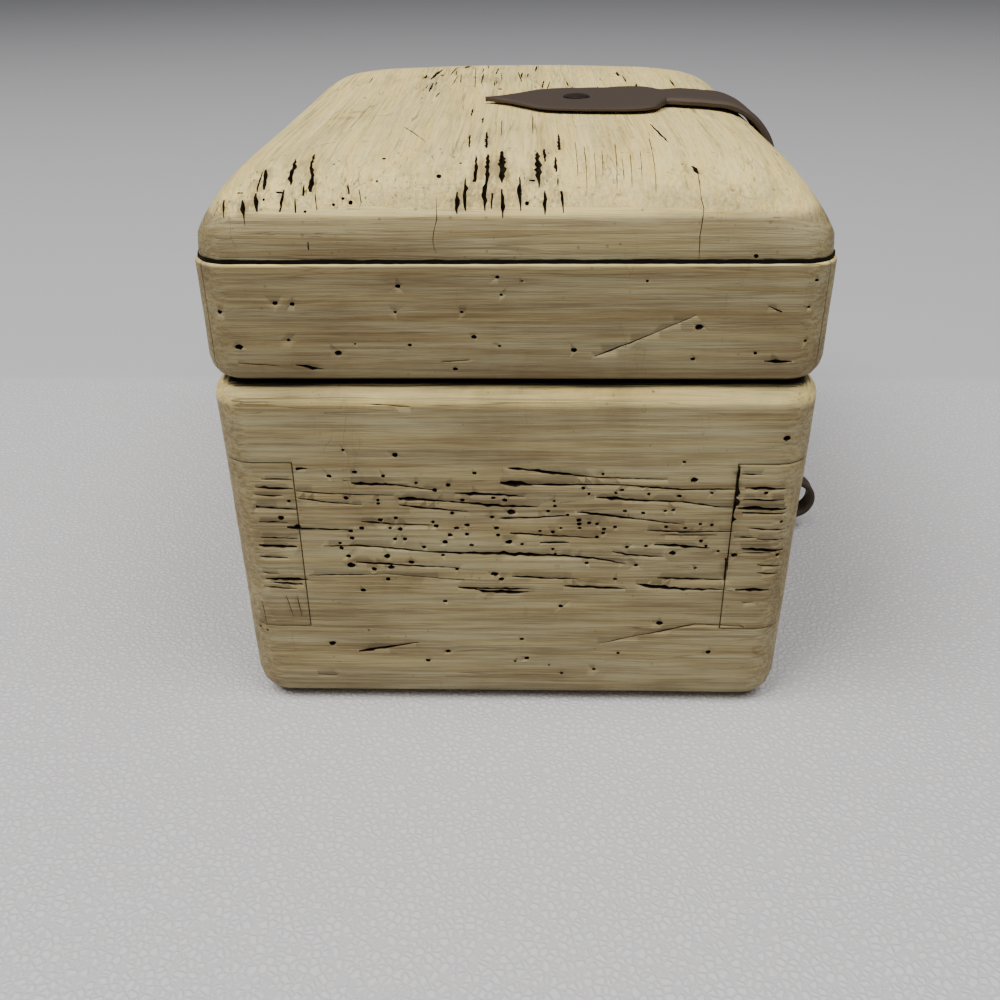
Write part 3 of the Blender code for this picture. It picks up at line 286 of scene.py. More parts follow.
DOME_HOLES_PX = (
    (263.6, 199, 3), (305, 211.6, 3), (343, 198, 3.6), (351, 202, 5), (333.6, 204.4, 3.6), (334, 164, 2.6), (339, 161, 2.6),
    (377, 180.6, 2.8), (384, 158.6, 4.6), (439, 176, 6), (440.6, 149, 2.8), (454, 157, 2.8), (460.6, 163, 3.2),
    (429, 138, 2), (407, 141, 2), (527, 203, 4.6), (535, 151, 2.4), (561, 66, 3), (682, 164, 2.4), (756, 256, 4.4),
    (257, 172, 2.2), (254, 180, 2.2), (300, 150, 2), (312, 149, 2), (322, 146, 2), (534, 78, 2), (557, 122, 2),
)


class CaseSizes(bpy.types.PropertyGroup):
    """Wear of the wooden case."""

    grid: FloatProperty(name="Wood grid", description="Spacing of the points that carry the worn unevenness", default=2.4 * MM, min=1.5 * MM, unit="LENGTH")
    uneven: FloatProperty(name="Unevenness", description="How far the wooden faces are worn in", default=0.35 * MM, unit="LENGTH")
    uneven_length: FloatProperty(name="Unevenness length", description="Length of the waves in the worn faces", default=26 * MM, unit="LENGTH")
    worn_band: FloatProperty(name="Worn band", description="How deep below a face its wear reaches", default=10 * MM, unit="LENGTH")
    eased_edge: FloatProperty(name="Eased edge", description="Width of the easing on sharp board edges", default=0.14 * MM, unit="LENGTH")
    glue_height: FloatProperty(name="Glue height", description="Height of the dark glue line under the domed top", default=0.95 * MM, unit="LENGTH")
    glue_width: FloatProperty(name="Glue width", description="Width of the ring of glue", default=3.0 * MM, unit="LENGTH")


class PaintSizes(bpy.types.PropertyGroup):
    """Where the paint is rubbed clean with a painted highlight, and where painted shade darkens the joints."""

    # The clean rim is rubbed paint with a painted highlight on the rim's upward rounding.
    clean_highlit_rim: FloatProperty(name="Clean rim", description="Height of the rubbed strip along the body's rim", default=3.6 * MM, unit="LENGTH")
    # The dark rim is painted shade in the groove between lid and body.
    dark_rim: FloatProperty(name="Dark rim", description="Height of the dark stain at the joint of lid and body", default=0.9 * MM, unit="LENGTH")
    # The darker wall is aged paint with painted shade on the dome's upright wall.
    wall_height: FloatProperty(name="Wall height", description="Height of the darker wall of the domed top", default=8.8 * MM, unit="LENGTH")
    fade: FloatProperty(name="Fade", description="Height over which clean paint fades", default=2.4 * MM, unit="LENGTH")
    lid_shade: FloatProperty(name="Lid shade", description="How much darker the lid's aged paint is than the body's", default=0.87)
    wall_depth: FloatProperty(name="Wall depth", description="How far in from its ends the top is brushed across", default=4.6 * MM, unit="LENGTH")


class DomeSizes(bpy.types.PropertyGroup):
    """Shape of the domed top."""

    corner_radius: FloatProperty(name="Corner radius", description="Radius of the upright corners", default=9 * MM, unit="LENGTH")
    corner_steps: IntProperty(name="Corner steps", description="Steps round each upright corner", default=14)
    cell: FloatProperty(name="Cell", description="Spacing of the points along the rim", default=2.2 * MM, unit="LENGTH")
    crown: FloatProperty(name="Crown", description="How much thicker the slab is towards its right end", default=2.8 * MM, unit="LENGTH")
    worn_corner: FloatProperty(name="Worn corner", description="How far the left front corner's shoulder is worn down", default=2.2 * MM, unit="LENGTH")
    worn_reach: FloatProperty(name="Worn reach", description="How far the worn corner reaches", default=34 * MM, unit="LENGTH")


class MarkSizes(bpy.types.PropertyGroup):
    """Depth and number of gouges and worm holes."""

    spread: FloatProperty(name="Spread", description="How much wider the gouges are cut than they are drawn", default=1.3)
    gouge_depth: FloatProperty(name="Gouge depth", description="Depth of a gouge as a multiple of its width", default=1.5)
    least_depth: FloatProperty(name="Least depth", description="Depth of the finest gouge", default=0.3 * MM, unit="LENGTH")
    most_depth: FloatProperty(name="Most depth", description="Depth of the widest gouge", default=1.5 * MM, unit="LENGTH")
    hole_depth: FloatProperty(name="Hole depth", description="Depth of a worm hole", default=2.4 * MM, unit="LENGTH")
    lift: FloatProperty(name="Lift", description="How far a cutting form stands above the wood", default=0.4 * MM, unit="LENGTH")
    step: FloatProperty(name="Step", description="Distance between the sections of a gouge", default=1.3 * MM, unit="LENGTH")
    scratch: FloatProperty(name="Scratch", description="Width up to which a gouge is a brown scratch", default=0.26 * MM, unit="LENGTH")
    halo: FloatProperty(name="Halo", description="How far the stain round a mark reaches", default=1.9 * MM, unit="LENGTH")
    seed: IntProperty(name="Seed", description="Start value of the scattered marks", default=11)


class HaspSizes(bpy.types.PropertyGroup):
    """Forms of the forged hasp."""

    leaf_length: FloatProperty(name="Leaf length", description="Length of the leaf from its tip to its neck", default=54 * MM, unit="LENGTH")
    neck_blend: FloatProperty(name="Neck blend", description="Length over which the neck grows into the strap", default=6 * MM, unit="LENGTH")
    leaf_thickness: FloatProperty(name="Leaf thickness", description="Thickness of the beaten leaf", default=1.4 * MM, unit="LENGTH")
    strap_thickness: FloatProperty(name="Strap thickness", description="Thickness of the strap", default=2.4 * MM, unit="LENGTH")
    tail_thickness: FloatProperty(name="Tail thickness", description="Thickness of the scroll's end", default=1.8 * MM, unit="LENGTH")
    roll_thickness: FloatProperty(name="Roll thickness", description="Thickness of the iron rolled round the pin", default=1.25 * MM, unit="LENGTH")
    bend_radius: FloatProperty(name="Bend radius", description="Radius of the bend over the lid's front edge", default=18.5 * MM, unit="LENGTH")
    stand_off: FloatProperty(name="Stand-off", description="Gap between the strap and the lid's front", default=0.5 * MM, unit="LENGTH")
    drop_stand_off: FloatProperty(name="Drop stand-off", description="Gap between the drop and the body's front", default=1.2 * MM, unit="LENGTH")
    barrel_radius: FloatProperty(name="Barrel radius", description="Radius of the rolled knuckles", default=2.9 * MM, unit="LENGTH")
    shoulder_gap: FloatProperty(name="Shoulder gap", description="Gap between a knuckle and the other part's shoulder", default=0.6 * MM, unit="LENGTH")
    middle_knuckle: FloatProperty(name="Middle knuckle", description="Width of the middle knuckle", default=8.4 * MM, unit="LENGTH")
    joint_gap: FloatProperty(name="Joint gap", description="Gap between touching pieces", default=0.3 * MM, unit="LENGTH")
    flare_below_staple: FloatProperty(name="Flare below staple", description="Where the drop starts to flare, below the staple", default=8 * MM, unit="LENGTH")
    flare_radius: FloatProperty(name="Flare radius", description="Radius of the flare", default=50 * MM, unit="LENGTH")
    flare_angle: FloatProperty(name="Flare angle", description="Slope of the flared tail", default=math.radians(17.3), subtype="ANGLE")
    tail_clearance: FloatProperty(name="Tail clearance", description="Height of the scroll above the floor", default=5 * MM, unit="LENGTH")
    scroll_radius: FloatProperty(name="Scroll radius", description="Radius of the scroll", default=6.4 * MM, unit="LENGTH")
    scroll_turn: FloatProperty(name="Scroll turn", description="How far the scroll is rolled", default=math.radians(285), subtype="ANGLE")
    tail_width: FloatProperty(name="Tail width", description="Width of the tail at its scroll", default=7 * MM, unit="LENGTH")
    slot_width: FloatProperty(name="Slot width", description="Width of the staple's slot", default=8 * MM, unit="LENGTH")
    slot_above_staple: FloatProperty(name="Slot above staple", description="Top of the slot above the staple's middle", default=9 * MM, unit="LENGTH")
    slot_below_staple: FloatProperty(name="Slot below staple", description="Foot of the slot below the staple's middle", default=34 * MM, unit="LENGTH")
    staple_radius: FloatProperty(name="Staple radius", description="Radius of the staple's wire", default=1.5 * MM, unit="LENGTH")
    staple_half_span: FloatProperty(name="Staple half span", description="Half the distance between the staple's legs", default=5 * MM, unit="LENGTH")
    staple_reach: FloatProperty(name="Staple reach", description="Length of the staple's straight part", default=6.6 * MM, unit="LENGTH")
    staple_depth: FloatProperty(name="Staple depth", description="How deep the staple's legs are driven in", default=12 * MM, unit="LENGTH")
    hammer_depth: FloatProperty(name="Hammer depth", description="Depth of the hammer marks", default=0.22 * MM, unit="LENGTH")
    hammer_size: FloatProperty(name="Hammer size", description="Size of the hammer marks", default=6 * MM, unit="LENGTH")


class FinishColours(bpy.types.PropertyGroup):
    """Colours of the finishes."""

    # Cream also stands as the painted highlight on the upward faces of the case.
    cream: FloatVectorProperty(name="Cream paint", description="Clean face of the paint", subtype="COLOR", size=3, default=(0.94, 0.77, 0.33), min=0, max=1)
    # Aged paint is glazed paint darkened further as painted shade for the upright faces.
    aged_shaded_cream: FloatVectorProperty(name="Aged paint", description="Paint under thin glaze", subtype="COLOR", size=3, default=(0.39, 0.34, 0.185), min=0, max=1)
    glaze: FloatVectorProperty(name="Glaze", description="Olive-brown glaze in the hollows", subtype="COLOR", size=3, default=(0.15, 0.10, 0.042), min=0, max=1)
    brown: FloatVectorProperty(name="Brown glaze", description="Brown glaze in scratches", subtype="COLOR", size=3, default=(0.09, 0.052, 0.022), min=0, max=1)
    soot: FloatVectorProperty(name="Dark glaze", description="Dark glaze inside gouges and holes", subtype="COLOR", size=3, default=(0.014, 0.009, 0.005), min=0, max=1)
    glue: FloatVectorProperty(name="Glue", description="Dark line under the domed top", subtype="COLOR", size=3, default=(0.004, 0.003, 0.002), min=0, max=1)
    iron: FloatVectorProperty(name="Iron", description="Forged iron", subtype="COLOR", size=3, default=(0.038, 0.028, 0.024), min=0, max=1)
    rust: FloatVectorProperty(name="Rust", description="Rust on the iron", subtype="COLOR", size=3, default=(0.064, 0.025, 0.016), min=0, max=1)
    scale_black: FloatVectorProperty(name="Forge scale", description="Black scale on the iron", subtype="COLOR", size=3, default=(0.010, 0.009, 0.008), min=0, max=1)
    bright: FloatVectorProperty(name="Bright wear", description="Metal where wear has bared it", subtype="COLOR", size=3, default=(0.32, 0.29, 0.25), min=0, max=1)
    brass: FloatVectorProperty(name="Brass", description="Aged brass of the hinges", subtype="COLOR", size=3, default=(0.50, 0.34, 0.14), min=0, max=1)
    tarnish: FloatVectorProperty(name="Tarnish", description="Tarnish on the brass", subtype="COLOR", size=3, default=(0.12, 0.085, 0.04), min=0, max=1)
    steel: FloatVectorProperty(name="Steel", description="Dull steel of pins and screws", subtype="COLOR", size=3, default=(0.36, 0.35, 0.33), min=0, max=1)
    cedar_light: FloatVectorProperty(name="Light cedar", description="Early wood of the cedar", subtype="COLOR", size=3, default=(0.56, 0.31, 0.17), min=0, max=1)
    cedar_dark: FloatVectorProperty(name="Dark cedar", description="Late wood of the cedar", subtype="COLOR", size=3, default=(0.33, 0.145, 0.07), min=0, max=1)
    raw_light: FloatVectorProperty(name="Light raw wood", description="Early wood of the bottom board", subtype="COLOR", size=3, default=(0.44, 0.31, 0.18), min=0, max=1)
    raw_dark: FloatVectorProperty(name="Dark raw wood", description="Late wood of the bottom board", subtype="COLOR", size=3, default=(0.25, 0.155, 0.08), min=0, max=1)
    floor: FloatVectorProperty(name="Floor", description="Pale floor", subtype="COLOR", size=3, default=(0.66, 0.65, 0.66), min=0, max=1)
    backdrop: FloatVectorProperty(name="Backdrop", description="Floor beyond the box", subtype="COLOR", size=3, default=(0.52, 0.52, 0.54), min=0, max=1)


class StageSizes(bpy.types.PropertyGroup):
    """Camera, floor and lights."""

    focal_px: FloatProperty(name="Focal length", description="Focal length in pixels of the reference view", default=1030)
    pitch: FloatProperty(name="Pitch", description="How far the camera looks down", default=math.radians(29.53), subtype="ANGLE")
    yaw: FloatProperty(name="Yaw", description="How far the camera looks to the back", default=math.radians(1.54), subtype="ANGLE")
    roll: FloatProperty(name="Roll", description="Turn of the camera about its own line of sight", default=math.radians(-0.52), subtype="ANGLE")
    camera_gap: FloatProperty(name="Camera gap", description="Distance from the box's left end", default=231.9 * MM, unit="LENGTH")
    camera_side: FloatProperty(name="Camera side", description="Place of the camera across the box", default=-2.6 * MM, unit="LENGTH")
    camera_height: FloatProperty(name="Camera height", description="Height of the camera above the floor", default=199.1 * MM, unit="LENGTH")
    floor_half: FloatProperty(name="Floor half size", description="Half the floor's width", default=3.0, unit="LENGTH")
    fold_x: FloatProperty(name="Backdrop line", description="Where the backdrop's tone begins", default=135 * MM, unit="LENGTH")
    key_power: FloatProperty(name="Left light", description="Power of the large light overhead on the left", default=56.0, unit="POWER")
    fill_power: FloatProperty(name="Right light", description="Power of the large light overhead on the right", default=34.0, unit="POWER")
    sky: FloatProperty(name="Room light", description="Strength of the even light of the room", default=0.15)


def sizes(name):
    """One of the property groups of the scene."""
    return getattr(bpy.context.scene, "cigar_box_" + name)


# Shader nodes


def add_node(tree, kind, values=None, **settings):
    """Add a node, set its settings, and link or fill its inputs."""
    node = tree.nodes.new(kind)
    for key, value in settings.items():
        setattr(node, key, value)
    for key, value in (values or {}).items():
        if isinstance(value, bpy.types.NodeSocket):
            tree.links.new(value, node.inputs[key])
        else:
            node.inputs[key].default_value = value
    return node


def calc(tree, operation, first, second=0.0, third=0.0, clamp=False):
    """A math node's result."""
    node = add_node(tree, "ShaderNodeMath", {0: first, 1: second, 2: third}, operation=operation, use_clamp=clamp)
    return node.outputs[0]


def noise_value(tree, vector, scale, detail=4.0, roughness=0.55, distortion=0.0):
    """A noise texture's value, about one half on average."""
    values = {"Vector": vector, "Scale": scale, "Detail": detail, "Roughness": roughness, "Distortion": distortion}
    return add_node(tree, "ShaderNodeTexNoise", values).outputs["Fac"]


def band(tree, value, low, high):
    """Zero below low, one above high, with a smooth step between them."""
    values = {"Value": value, "From Min": low, "From Max": high}
    return add_node(tree, "ShaderNodeMapRange", values, interpolation_type="SMOOTHSTEP").outputs["Result"]


def blend(tree, factor, first, second, mode="MIX"):
    """A mix of two colours."""
    node = add_node(tree, "ShaderNodeMix", data_type="RGBA", blend_type=mode, clamp_result=True)
    for socket, value in ((node.inputs[0], factor), (node.inputs[6], first), (node.inputs[7], second)):
        if isinstance(value, bpy.types.NodeSocket):
            tree.links.new(value, socket)
        elif isinstance(value, float):
            socket.default_value = value
        else:
            socket.default_value = (*value, 1.0)
    return node.outputs[2]


def stretched(tree, vector, scale, turn=(0.0, 0.0, 0.0), shift=(0.0, 0.0, 0.0)):
    """Coordinates scaled by axis, so that a pattern runs along the axis with the least scale."""
    values = {"Vector": vector, "Scale": scale, "Rotation": turn, "Location": shift}
    return add_node(tree, "ShaderNodeMapping", values).outputs[0]


def effect(name, inputs, outputs, fill):
    """A shader node group with named inputs and outputs, built once."""
    group = bpy.data.node_groups.get(name)
    if group:
        return group
    group = bpy.data.node_groups.new(name, "ShaderNodeTree")
    for label, kind, default in inputs:
        socket = group.interface.new_socket(label, in_out="INPUT", socket_type=kind)
        if default is not None:
            socket.default_value = default
    for label in outputs:
        group.interface.new_socket(label, in_out="OUTPUT", socket_type="NodeSocketFloat")
    given = group.nodes.new("NodeGroupInput").outputs
    result = group.nodes.new("NodeGroupOutput").inputs
    for label, value in fill(group, given).items():
        group.links.new(value, result[label])
    return group


def use_effect(tree, group, values):
    """Place a node group in a material with its own values."""
    node = tree.nodes.new("ShaderNodeGroup")
    node.node_tree = group
    for key, value in values.items():
        if isinstance(value, bpy.types.NodeSocket):
            tree.links.new(value, node.inputs[key])
        else:
            node.inputs[key].default_value = value
    return node.outputs


def streaks_effect():
    """Long fibres and brush strokes, coarse and fine."""

    def fill(tree, given):
        coarse = noise_value(tree, given["Vector"], 1.0, 5.0, 0.6)
        apart = add_node(tree, "ShaderNodeVectorMath", {0: given["Vector"], "Scale": 3.7}, operation="SCALE").outputs[0]
        fine = noise_value(tree, apart, 1.0, 3.0, 0.6)
        return {"Coarse": band(tree, coarse, 0.32, 0.68), "Fine": band(tree, fine, 0.3, 0.7)}

    return effect("fibre_streaks", [("Vector", "NodeSocketVector", None)], ["Coarse", "Fine"], fill)


def patches_effect():
    """Cloudy patches between two thresholds."""

    def fill(tree, given):
        value = noise_value(tree, given["Vector"], given["Scale"], 6.0, 0.62, 0.4)
        return {"Mask": band(tree, value, given["Low"], given["High"])}

    inputs = [
        ("Vector", "NodeSocketVector", None),
        ("Scale", "NodeSocketFloat", 40.0),
        ("Low", "NodeSocketFloat", 0.45),
        ("High", "NodeSocketFloat", 0.65),
    ]
    return effect("cloudy_patches", inputs, ["Mask"], fill)


def hairlines_effect():
    """Thin winding lines, as of fine cracks and scratches, broken up into lengths."""

    def fill(tree, given):
        value = noise_value(tree, given["Vector"], 1.0, 2.0, 0.5)
        off = calc(tree, "ABSOLUTE", calc(tree, "SUBTRACT", value, 0.5))
        line = calc(tree, "SUBTRACT", 1.0, band(tree, off, 0.0, given["Width"]))
        breaks = noise_value(tree, given["Vector"], 0.43, 3.0, 0.6)
        return {"Mask": calc(tree, "MULTIPLY", line, band(tree, breaks, given["Breaks"], 0.72))}

    inputs = [
        ("Vector", "NodeSocketVector", None),
        ("Width", "NodeSocketFloat", 0.012),
        ("Breaks", "NodeSocketFloat", 0.5),
    ]
    return effect("hairlines", inputs, ["Mask"], fill)


def specks_effect():
    """Small scattered specks and pits of uneven size."""

    def fill(tree, given):
        cells = add_node(tree, "ShaderNodeTexVoronoi", {"Vector": given["Vector"], "Scale": given["Scale"]})
        shade = add_node(tree, "ShaderNodeSeparateColor", {"Color": cells.outputs["Color"]})
        reach = calc(tree, "MULTIPLY", shade.outputs["Red"], given["Size"])
        inner = calc(tree, "MULTIPLY", reach, 0.35)
        speck = calc(tree, "SUBTRACT", 1.0, band(tree, cells.outputs["Distance"], inner, reach))
        kept = calc(tree, "GREATER_THAN", shade.outputs["Green"], given["Sparse"])
        return {"Mask": calc(tree, "MULTIPLY", speck, kept)}

    inputs = [
        ("Vector", "NodeSocketVector", None),
        ("Scale", "NodeSocketFloat", 400.0),
        ("Size", "NodeSocketFloat", 0.3),
        ("Sparse", "NodeSocketFloat", 0.6),
    ]
    return effect("specks", inputs, ["Mask"], fill)


def edge_effect():
    """How near a point of a box's face lies to the box's edges, from zero to one."""

    def fill(tree, given):
        axes = add_node(tree, "ShaderNodeSeparateXYZ", {0: given["Vector"]}).outputs
        nearness = []
        for axis, half in zip(axes, ("Half Length", "Half Depth", "Half Height")):
            inside = calc(tree, "SUBTRACT", given[half], calc(tree, "ABSOLUTE", axis))
            nearness.append(calc(tree, "SUBTRACT", 1.0, calc(tree, "DIVIDE", inside, given["Reach"]), clamp=True))
        along_x, along_y, along_z = nearness
        pairs = [
            calc(tree, "MINIMUM", along_x, along_y),
            calc(tree, "MINIMUM", along_y, along_z),
            calc(tree, "MINIMUM", along_x, along_z),
        ]
        most = calc(tree, "MAXIMUM", calc(tree, "MAXIMUM", pairs[0], pairs[1]), pairs[2])
        return {"Mask": most}

    inputs = [
        ("Vector", "NodeSocketVector", None),
        ("Half Length", "NodeSocketFloat", 0.1),
        ("Half Depth", "NodeSocketFloat", 0.1),
        ("Half Height", "NodeSocketFloat", 0.1),
        ("Reach", "NodeSocketFloat", 0.01),
    ]
    return effect("box_edges", inputs, ["Mask"], fill)


def rings_effect():
    """Growth rings of sawn wood, seen along the board."""

    def fill(tree, given):
        bend = noise_value(tree, given["Vector"], 0.6, 3.0, 0.5)
        apart = add_node(tree, "ShaderNodeSeparateXYZ", {0: given["Vector"]}).outputs
        across = calc(tree, "ADD", calc(tree, "MULTIPLY", bend, given["Bend"]), apart["Y"])
        wave = calc(tree, "FRACT", calc(tree, "MULTIPLY", across, given["Rings"]))
        return {"Rings": band(tree, wave, 0.1, 0.95), "Cloud": bend}

    inputs = [
        ("Vector", "NodeSocketVector", None),
        ("Bend", "NodeSocketFloat", 1.2),
        ("Rings", "NodeSocketFloat", 3.0),
    ]
    return effect("growth_rings", inputs, ["Rings", "Cloud"], fill)


def new_finish(name):
    """An empty node material, its Principled shader and its Object coordinates."""
    finish = bpy.data.materials.new(name)
    finish.use_nodes = True
    tree = finish.node_tree
    tree.nodes.clear()
    shader = tree.nodes.new("ShaderNodeBsdfPrincipled")
    out = tree.nodes.new("ShaderNodeOutputMaterial")
    tree.links.new(shader.outputs[0], out.inputs["Surface"])
    place = tree.nodes.new("ShaderNodeTexCoord").outputs["Object"]
    return finish, tree, shader, place


def relief(tree, shader, height, distance, strength=1.0, below=None):
    """Feed a height through a Bump node to the shader's normal."""
    values = {"Height": height, "Distance": distance, "Strength": strength}
    if below is not None:
        values["Normal"] = below
    bump = add_node(tree, "ShaderNodeBump", values)
    tree.links.new(bump.outputs[0], shader.inputs["Normal"])
    return bump.outputs[0]


def ends_effect():
    """One on the box's ends, where brush strokes run across it, and zero where they run along it."""

    def fill(tree, given):
        axes = add_node(tree, "ShaderNodeSeparateXYZ", {0: given["Vector"]}).outputs
        from_end = calc(tree, "SUBTRACT", HALF_LENGTH, calc(tree, "ABSOLUTE", axes["X"]))
        from_side = calc(tree, "SUBTRACT", HALF_DEPTH, calc(tree, "ABSOLUTE", axes["Y"]))
        drift = calc(tree, "SUBTRACT", noise_value(tree, given["Vector"], 160.0, 2.0), 0.5)
        nearest = calc(tree, "ADD", calc(tree, "MINIMUM", from_side, given["Reach"]), calc(tree, "MULTIPLY", drift, 3 * MM))
        return {"Mask": calc(tree, "GREATER_THAN", nearest, from_end)}

    inputs = [("Vector", "NodeSocketVector", None), ("Reach", "NodeSocketFloat", 0.1)]
    return effect("box_ends", inputs, ["Mask"], fill)


def painted_wood(name, reach, shade, half_size, middle, clean_highlit_heights, joint_shade_heights):
    """Cream paint with brush strokes, glaze rubbed into its hollows and round its marks, and darker towards its edges.

    It is cream between the first heights of its clean band and its last: rubbed-clean paint and a painted highlight on
    the upward faces, against aged paint darkened as painted shade elsewhere. It is dark between the heights of its
    joint band: painted shade in the groove between lid and body, and a darker joint at the slab's foot above the glue.
    Strokes run across the box where a point lies nearer to its end than reach, and than to its side.
    """
    finish = bpy.data.materials.get(name)
    if finish:
        return finish
    colours = sizes("colours")
    cream, glaze, soot = (tuple(c) for c in (colours.cream, colours.glaze, colours.soot))
    # The aged colour: glazed paint, darker as painted shade on the upright faces.
    aged_shaded = tuple(c * shade for c in colours.aged_shaded_cream)
    finish, tree, shader, place = new_finish(name)
    axes = add_node(tree, "ShaderNodeSeparateXYZ", {0: place}).outputs
    height = axes["Z"]
    ends = use_effect(tree, ends_effect(), {"Vector": place, "Reach": reach})["Mask"]
    across = add_node(tree, "ShaderNodeCombineXYZ", {0: axes["Y"], 1: axes["X"], 2: height}).outputs[0]
    laid = add_node(tree, "ShaderNodeMix", {0: ends, 4: place, 5: across}, data_type="VECTOR").outputs[1]
    soiled = add_node(tree, "ShaderNodeSeparateXYZ", {0: add_node(tree, "ShaderNodeUVMap", uv_map=STAIN_MAP).outputs[0]}).outputs["X"]
    fibres = use_effect(tree, streaks_effect(), {"Vector": stretched(tree, laid, (30, 1150, 1150))})
    broad = use_effect(tree, patches_effect(), {"Vector": stretched(tree, laid, (11, 130, 130), shift=(0.2, 0.1, 0.4)), "Scale": 1.0, "Low": 0.34, "High": 0.68})
    tint = use_effect(tree, patches_effect(), {"Vector": stretched(tree, laid, (16, 380, 380), shift=(0.6, 0.3, 0.7)), "Scale": 1.0, "Low": 0.36, "High": 0.66})
    cloud = use_effect(tree, patches_effect(), {"Vector": place, "Scale": 30.0, "Low": 0.38, "High": 0.68})
    smear = use_effect(tree, patches_effect(), {"Vector": stretched(tree, laid, (22, 190, 190), (0.0, 0.0, 0.03)), "Scale": 1.0, "Low": 0.5, "High": 0.74})
    dashes = use_effect(tree, patches_effect(), {"Vector": stretched(tree, laid, (130, 1500, 1500), (0.0, 0.0, 0.02)), "Scale": 1.0, "Low": 0.62, "High": 0.72})
    zones = use_effect(tree, patches_effect(), {"Vector": stretched(tree, laid, (1, 1, 1), shift=(0.5, 0.3, 0.1)), "Scale": 30.0, "Low": 0.46, "High": 0.66})
    hairs = use_effect(tree, hairlines_effect(), {"Vector": stretched(tree, laid, (15, 420, 420), (0.02, 0.03, 0.05)), "Width": 0.035, "Breaks": 0.42})
    crossing = use_effect(tree, hairlines_effect(), {"Vector": stretched(tree, laid, (260, 46, 60), (0.0, 0.5, 0.35)), "Width": 0.012, "Breaks": 0.5})
    specks = use_effect(tree, specks_effect(), {"Vector": place, "Scale": 620.0, "Size": 0.4, "Sparse": 0.8})
    centred = add_node(tree, "ShaderNodeVectorMath", {0: place, 1: middle}, operation="SUBTRACT").outputs[0]
    edges = use_effect(
        tree,
        edge_effect(),
        {"Vector": centred, "Half Length": half_size[0], "Half Depth": half_size[1], "Half Height": half_size[2], "Reach": 14 * MM},
    )
    # Rubbed-clean paint and a painted highlight on the upward faces: the dome top, the rim strip and the rails' top
    # edge.
    clean_and_highlit = calc(tree, "MULTIPLY", band(tree, height, clean_highlit_heights[0], clean_highlit_heights[1]), calc(tree, "SUBTRACT", 1.0, band(tree, height, clean_highlit_heights[2], clean_highlit_heights[3])))
    light = blend(tree, clean_and_highlit, aged_shaded, cream)
    dark = blend(tree, clean_and_highlit, glaze, aged_shaded)
    tone = calc(tree, "ADD", calc(tree, "MULTIPLY", fibres["Coarse"], 0.46), calc(tree, "MULTIPLY", broad["Mask"], 0.32))
    tone = calc(tree, "ADD", tone, calc(tree, "MULTIPLY", fibres["Fine"], 0.2))
    tone = calc(tree, "ADD", tone, calc(tree, "MULTIPLY", cloud["Mask"], 0.16))
    tone = calc(tree, "SUBTRACT", calc(tree, "MULTIPLY", tone, 1.2), 0.28, clamp=True)
    # Fewer glaze streaks where the paint is rubbed clean and carries the painted highlight.
    tone = calc(tree, "MULTIPLY", tone, calc(tree, "SUBTRACT", 1.0, calc(tree, "MULTIPLY", clean_and_highlit, 0.3)))
    colour = blend(tree, tone, light, dark)
    colour = blend(tree, calc(tree, "MULTIPLY", tint["Mask"], 0.8), colour, WARM_TINT, "MULTIPLY")
    worn = calc(tree, "MULTIPLY", smear["Mask"], calc(tree, "ADD", calc(tree, "MULTIPLY", fibres["Coarse"], 0.4), 0.1))
    colour = blend(tree, worn, colour, glaze)
    rough_stain = calc(tree, "ADD", calc(tree, "MULTIPLY", fibres["Coarse"], 0.5), calc(tree, "MULTIPLY", cloud["Mask"], 0.3))
    halo = band(tree, calc(tree, "ADD", soiled, rough_stain), 0.45, 1.25)
    colour = blend(tree, calc(tree, "MULTIPLY", calc(tree, "MULTIPLY", halo, soiled, clamp=True), 0.8), colour, glaze)
    # Darker towards the box's edges.
    edge_darkening = calc(tree, "MULTIPLY", calc(tree, "POWER", edges["Mask"], 1.5), calc(tree, "ADD", calc(tree, "MULTIPLY", cloud["Mask"], 0.5), 0.12))
    colour = blend(tree, edge_darkening, colour, glaze)
    colour = blend(tree, calc(tree, "MULTIPLY", hairs["Mask"], 0.75), colour, glaze)
    colour = blend(tree, calc(tree, "MULTIPLY", crossing["Mask"], 0.4), colour, glaze)
    colour = blend(tree, calc(tree, "MULTIPLY", dashes["Mask"], calc(tree, "MULTIPLY", zones["Mask"], 0.85)), colour, soot)
    colour = blend(tree, calc(tree, "MULTIPLY", specks["Mask"], 0.6), colour, glaze)
    # Painted shade in the joints: dark in the groove between lid and body, and a darker joint at the slab's foot above
    # the glue.
    ragged = calc(tree, "MULTIPLY", calc(tree, "SUBTRACT", fibres["Coarse"], 0.5), 0.6 * MM)
    joint_shade = band(tree, calc(tree, "ADD", height, ragged), joint_shade_heights[0], joint_shade_heights[1])
    colour = blend(tree, joint_shade, colour, soot)
    tree.links.new(colour, shader.inputs["Base Color"])
    rough = calc(tree, "ADD", calc(tree, "MULTIPLY", fibres["Coarse"], 0.16), calc(tree, "MULTIPLY", cloud["Mask"], 0.08))
    tree.links.new(calc(tree, "ADD", rough, 0.5), shader.inputs["Roughness"])
    shader.inputs["Specular IOR Level"].default_value = 0.35
    relief_height = calc(tree, "ADD", calc(tree, "MULTIPLY", fibres["Coarse"], 0.7), calc(tree, "MULTIPLY", fibres["Fine"], 0.3))
    relief_height = calc(tree, "SUBTRACT", relief_height, calc(tree, "MULTIPLY", hairs["Mask"], 0.8))
    relief_height = calc(tree, "SUBTRACT", relief_height, calc(tree, "MULTIPLY", crossing["Mask"], 0.6))
    relief_height = calc(tree, "SUBTRACT", relief_height, calc(tree, "MULTIPLY", calc(tree, "MULTIPLY", dashes["Mask"], zones["Mask"]), 2.5))
    relief(tree, shader, relief_height, 0.14 * MM, 0.9)
    return finish


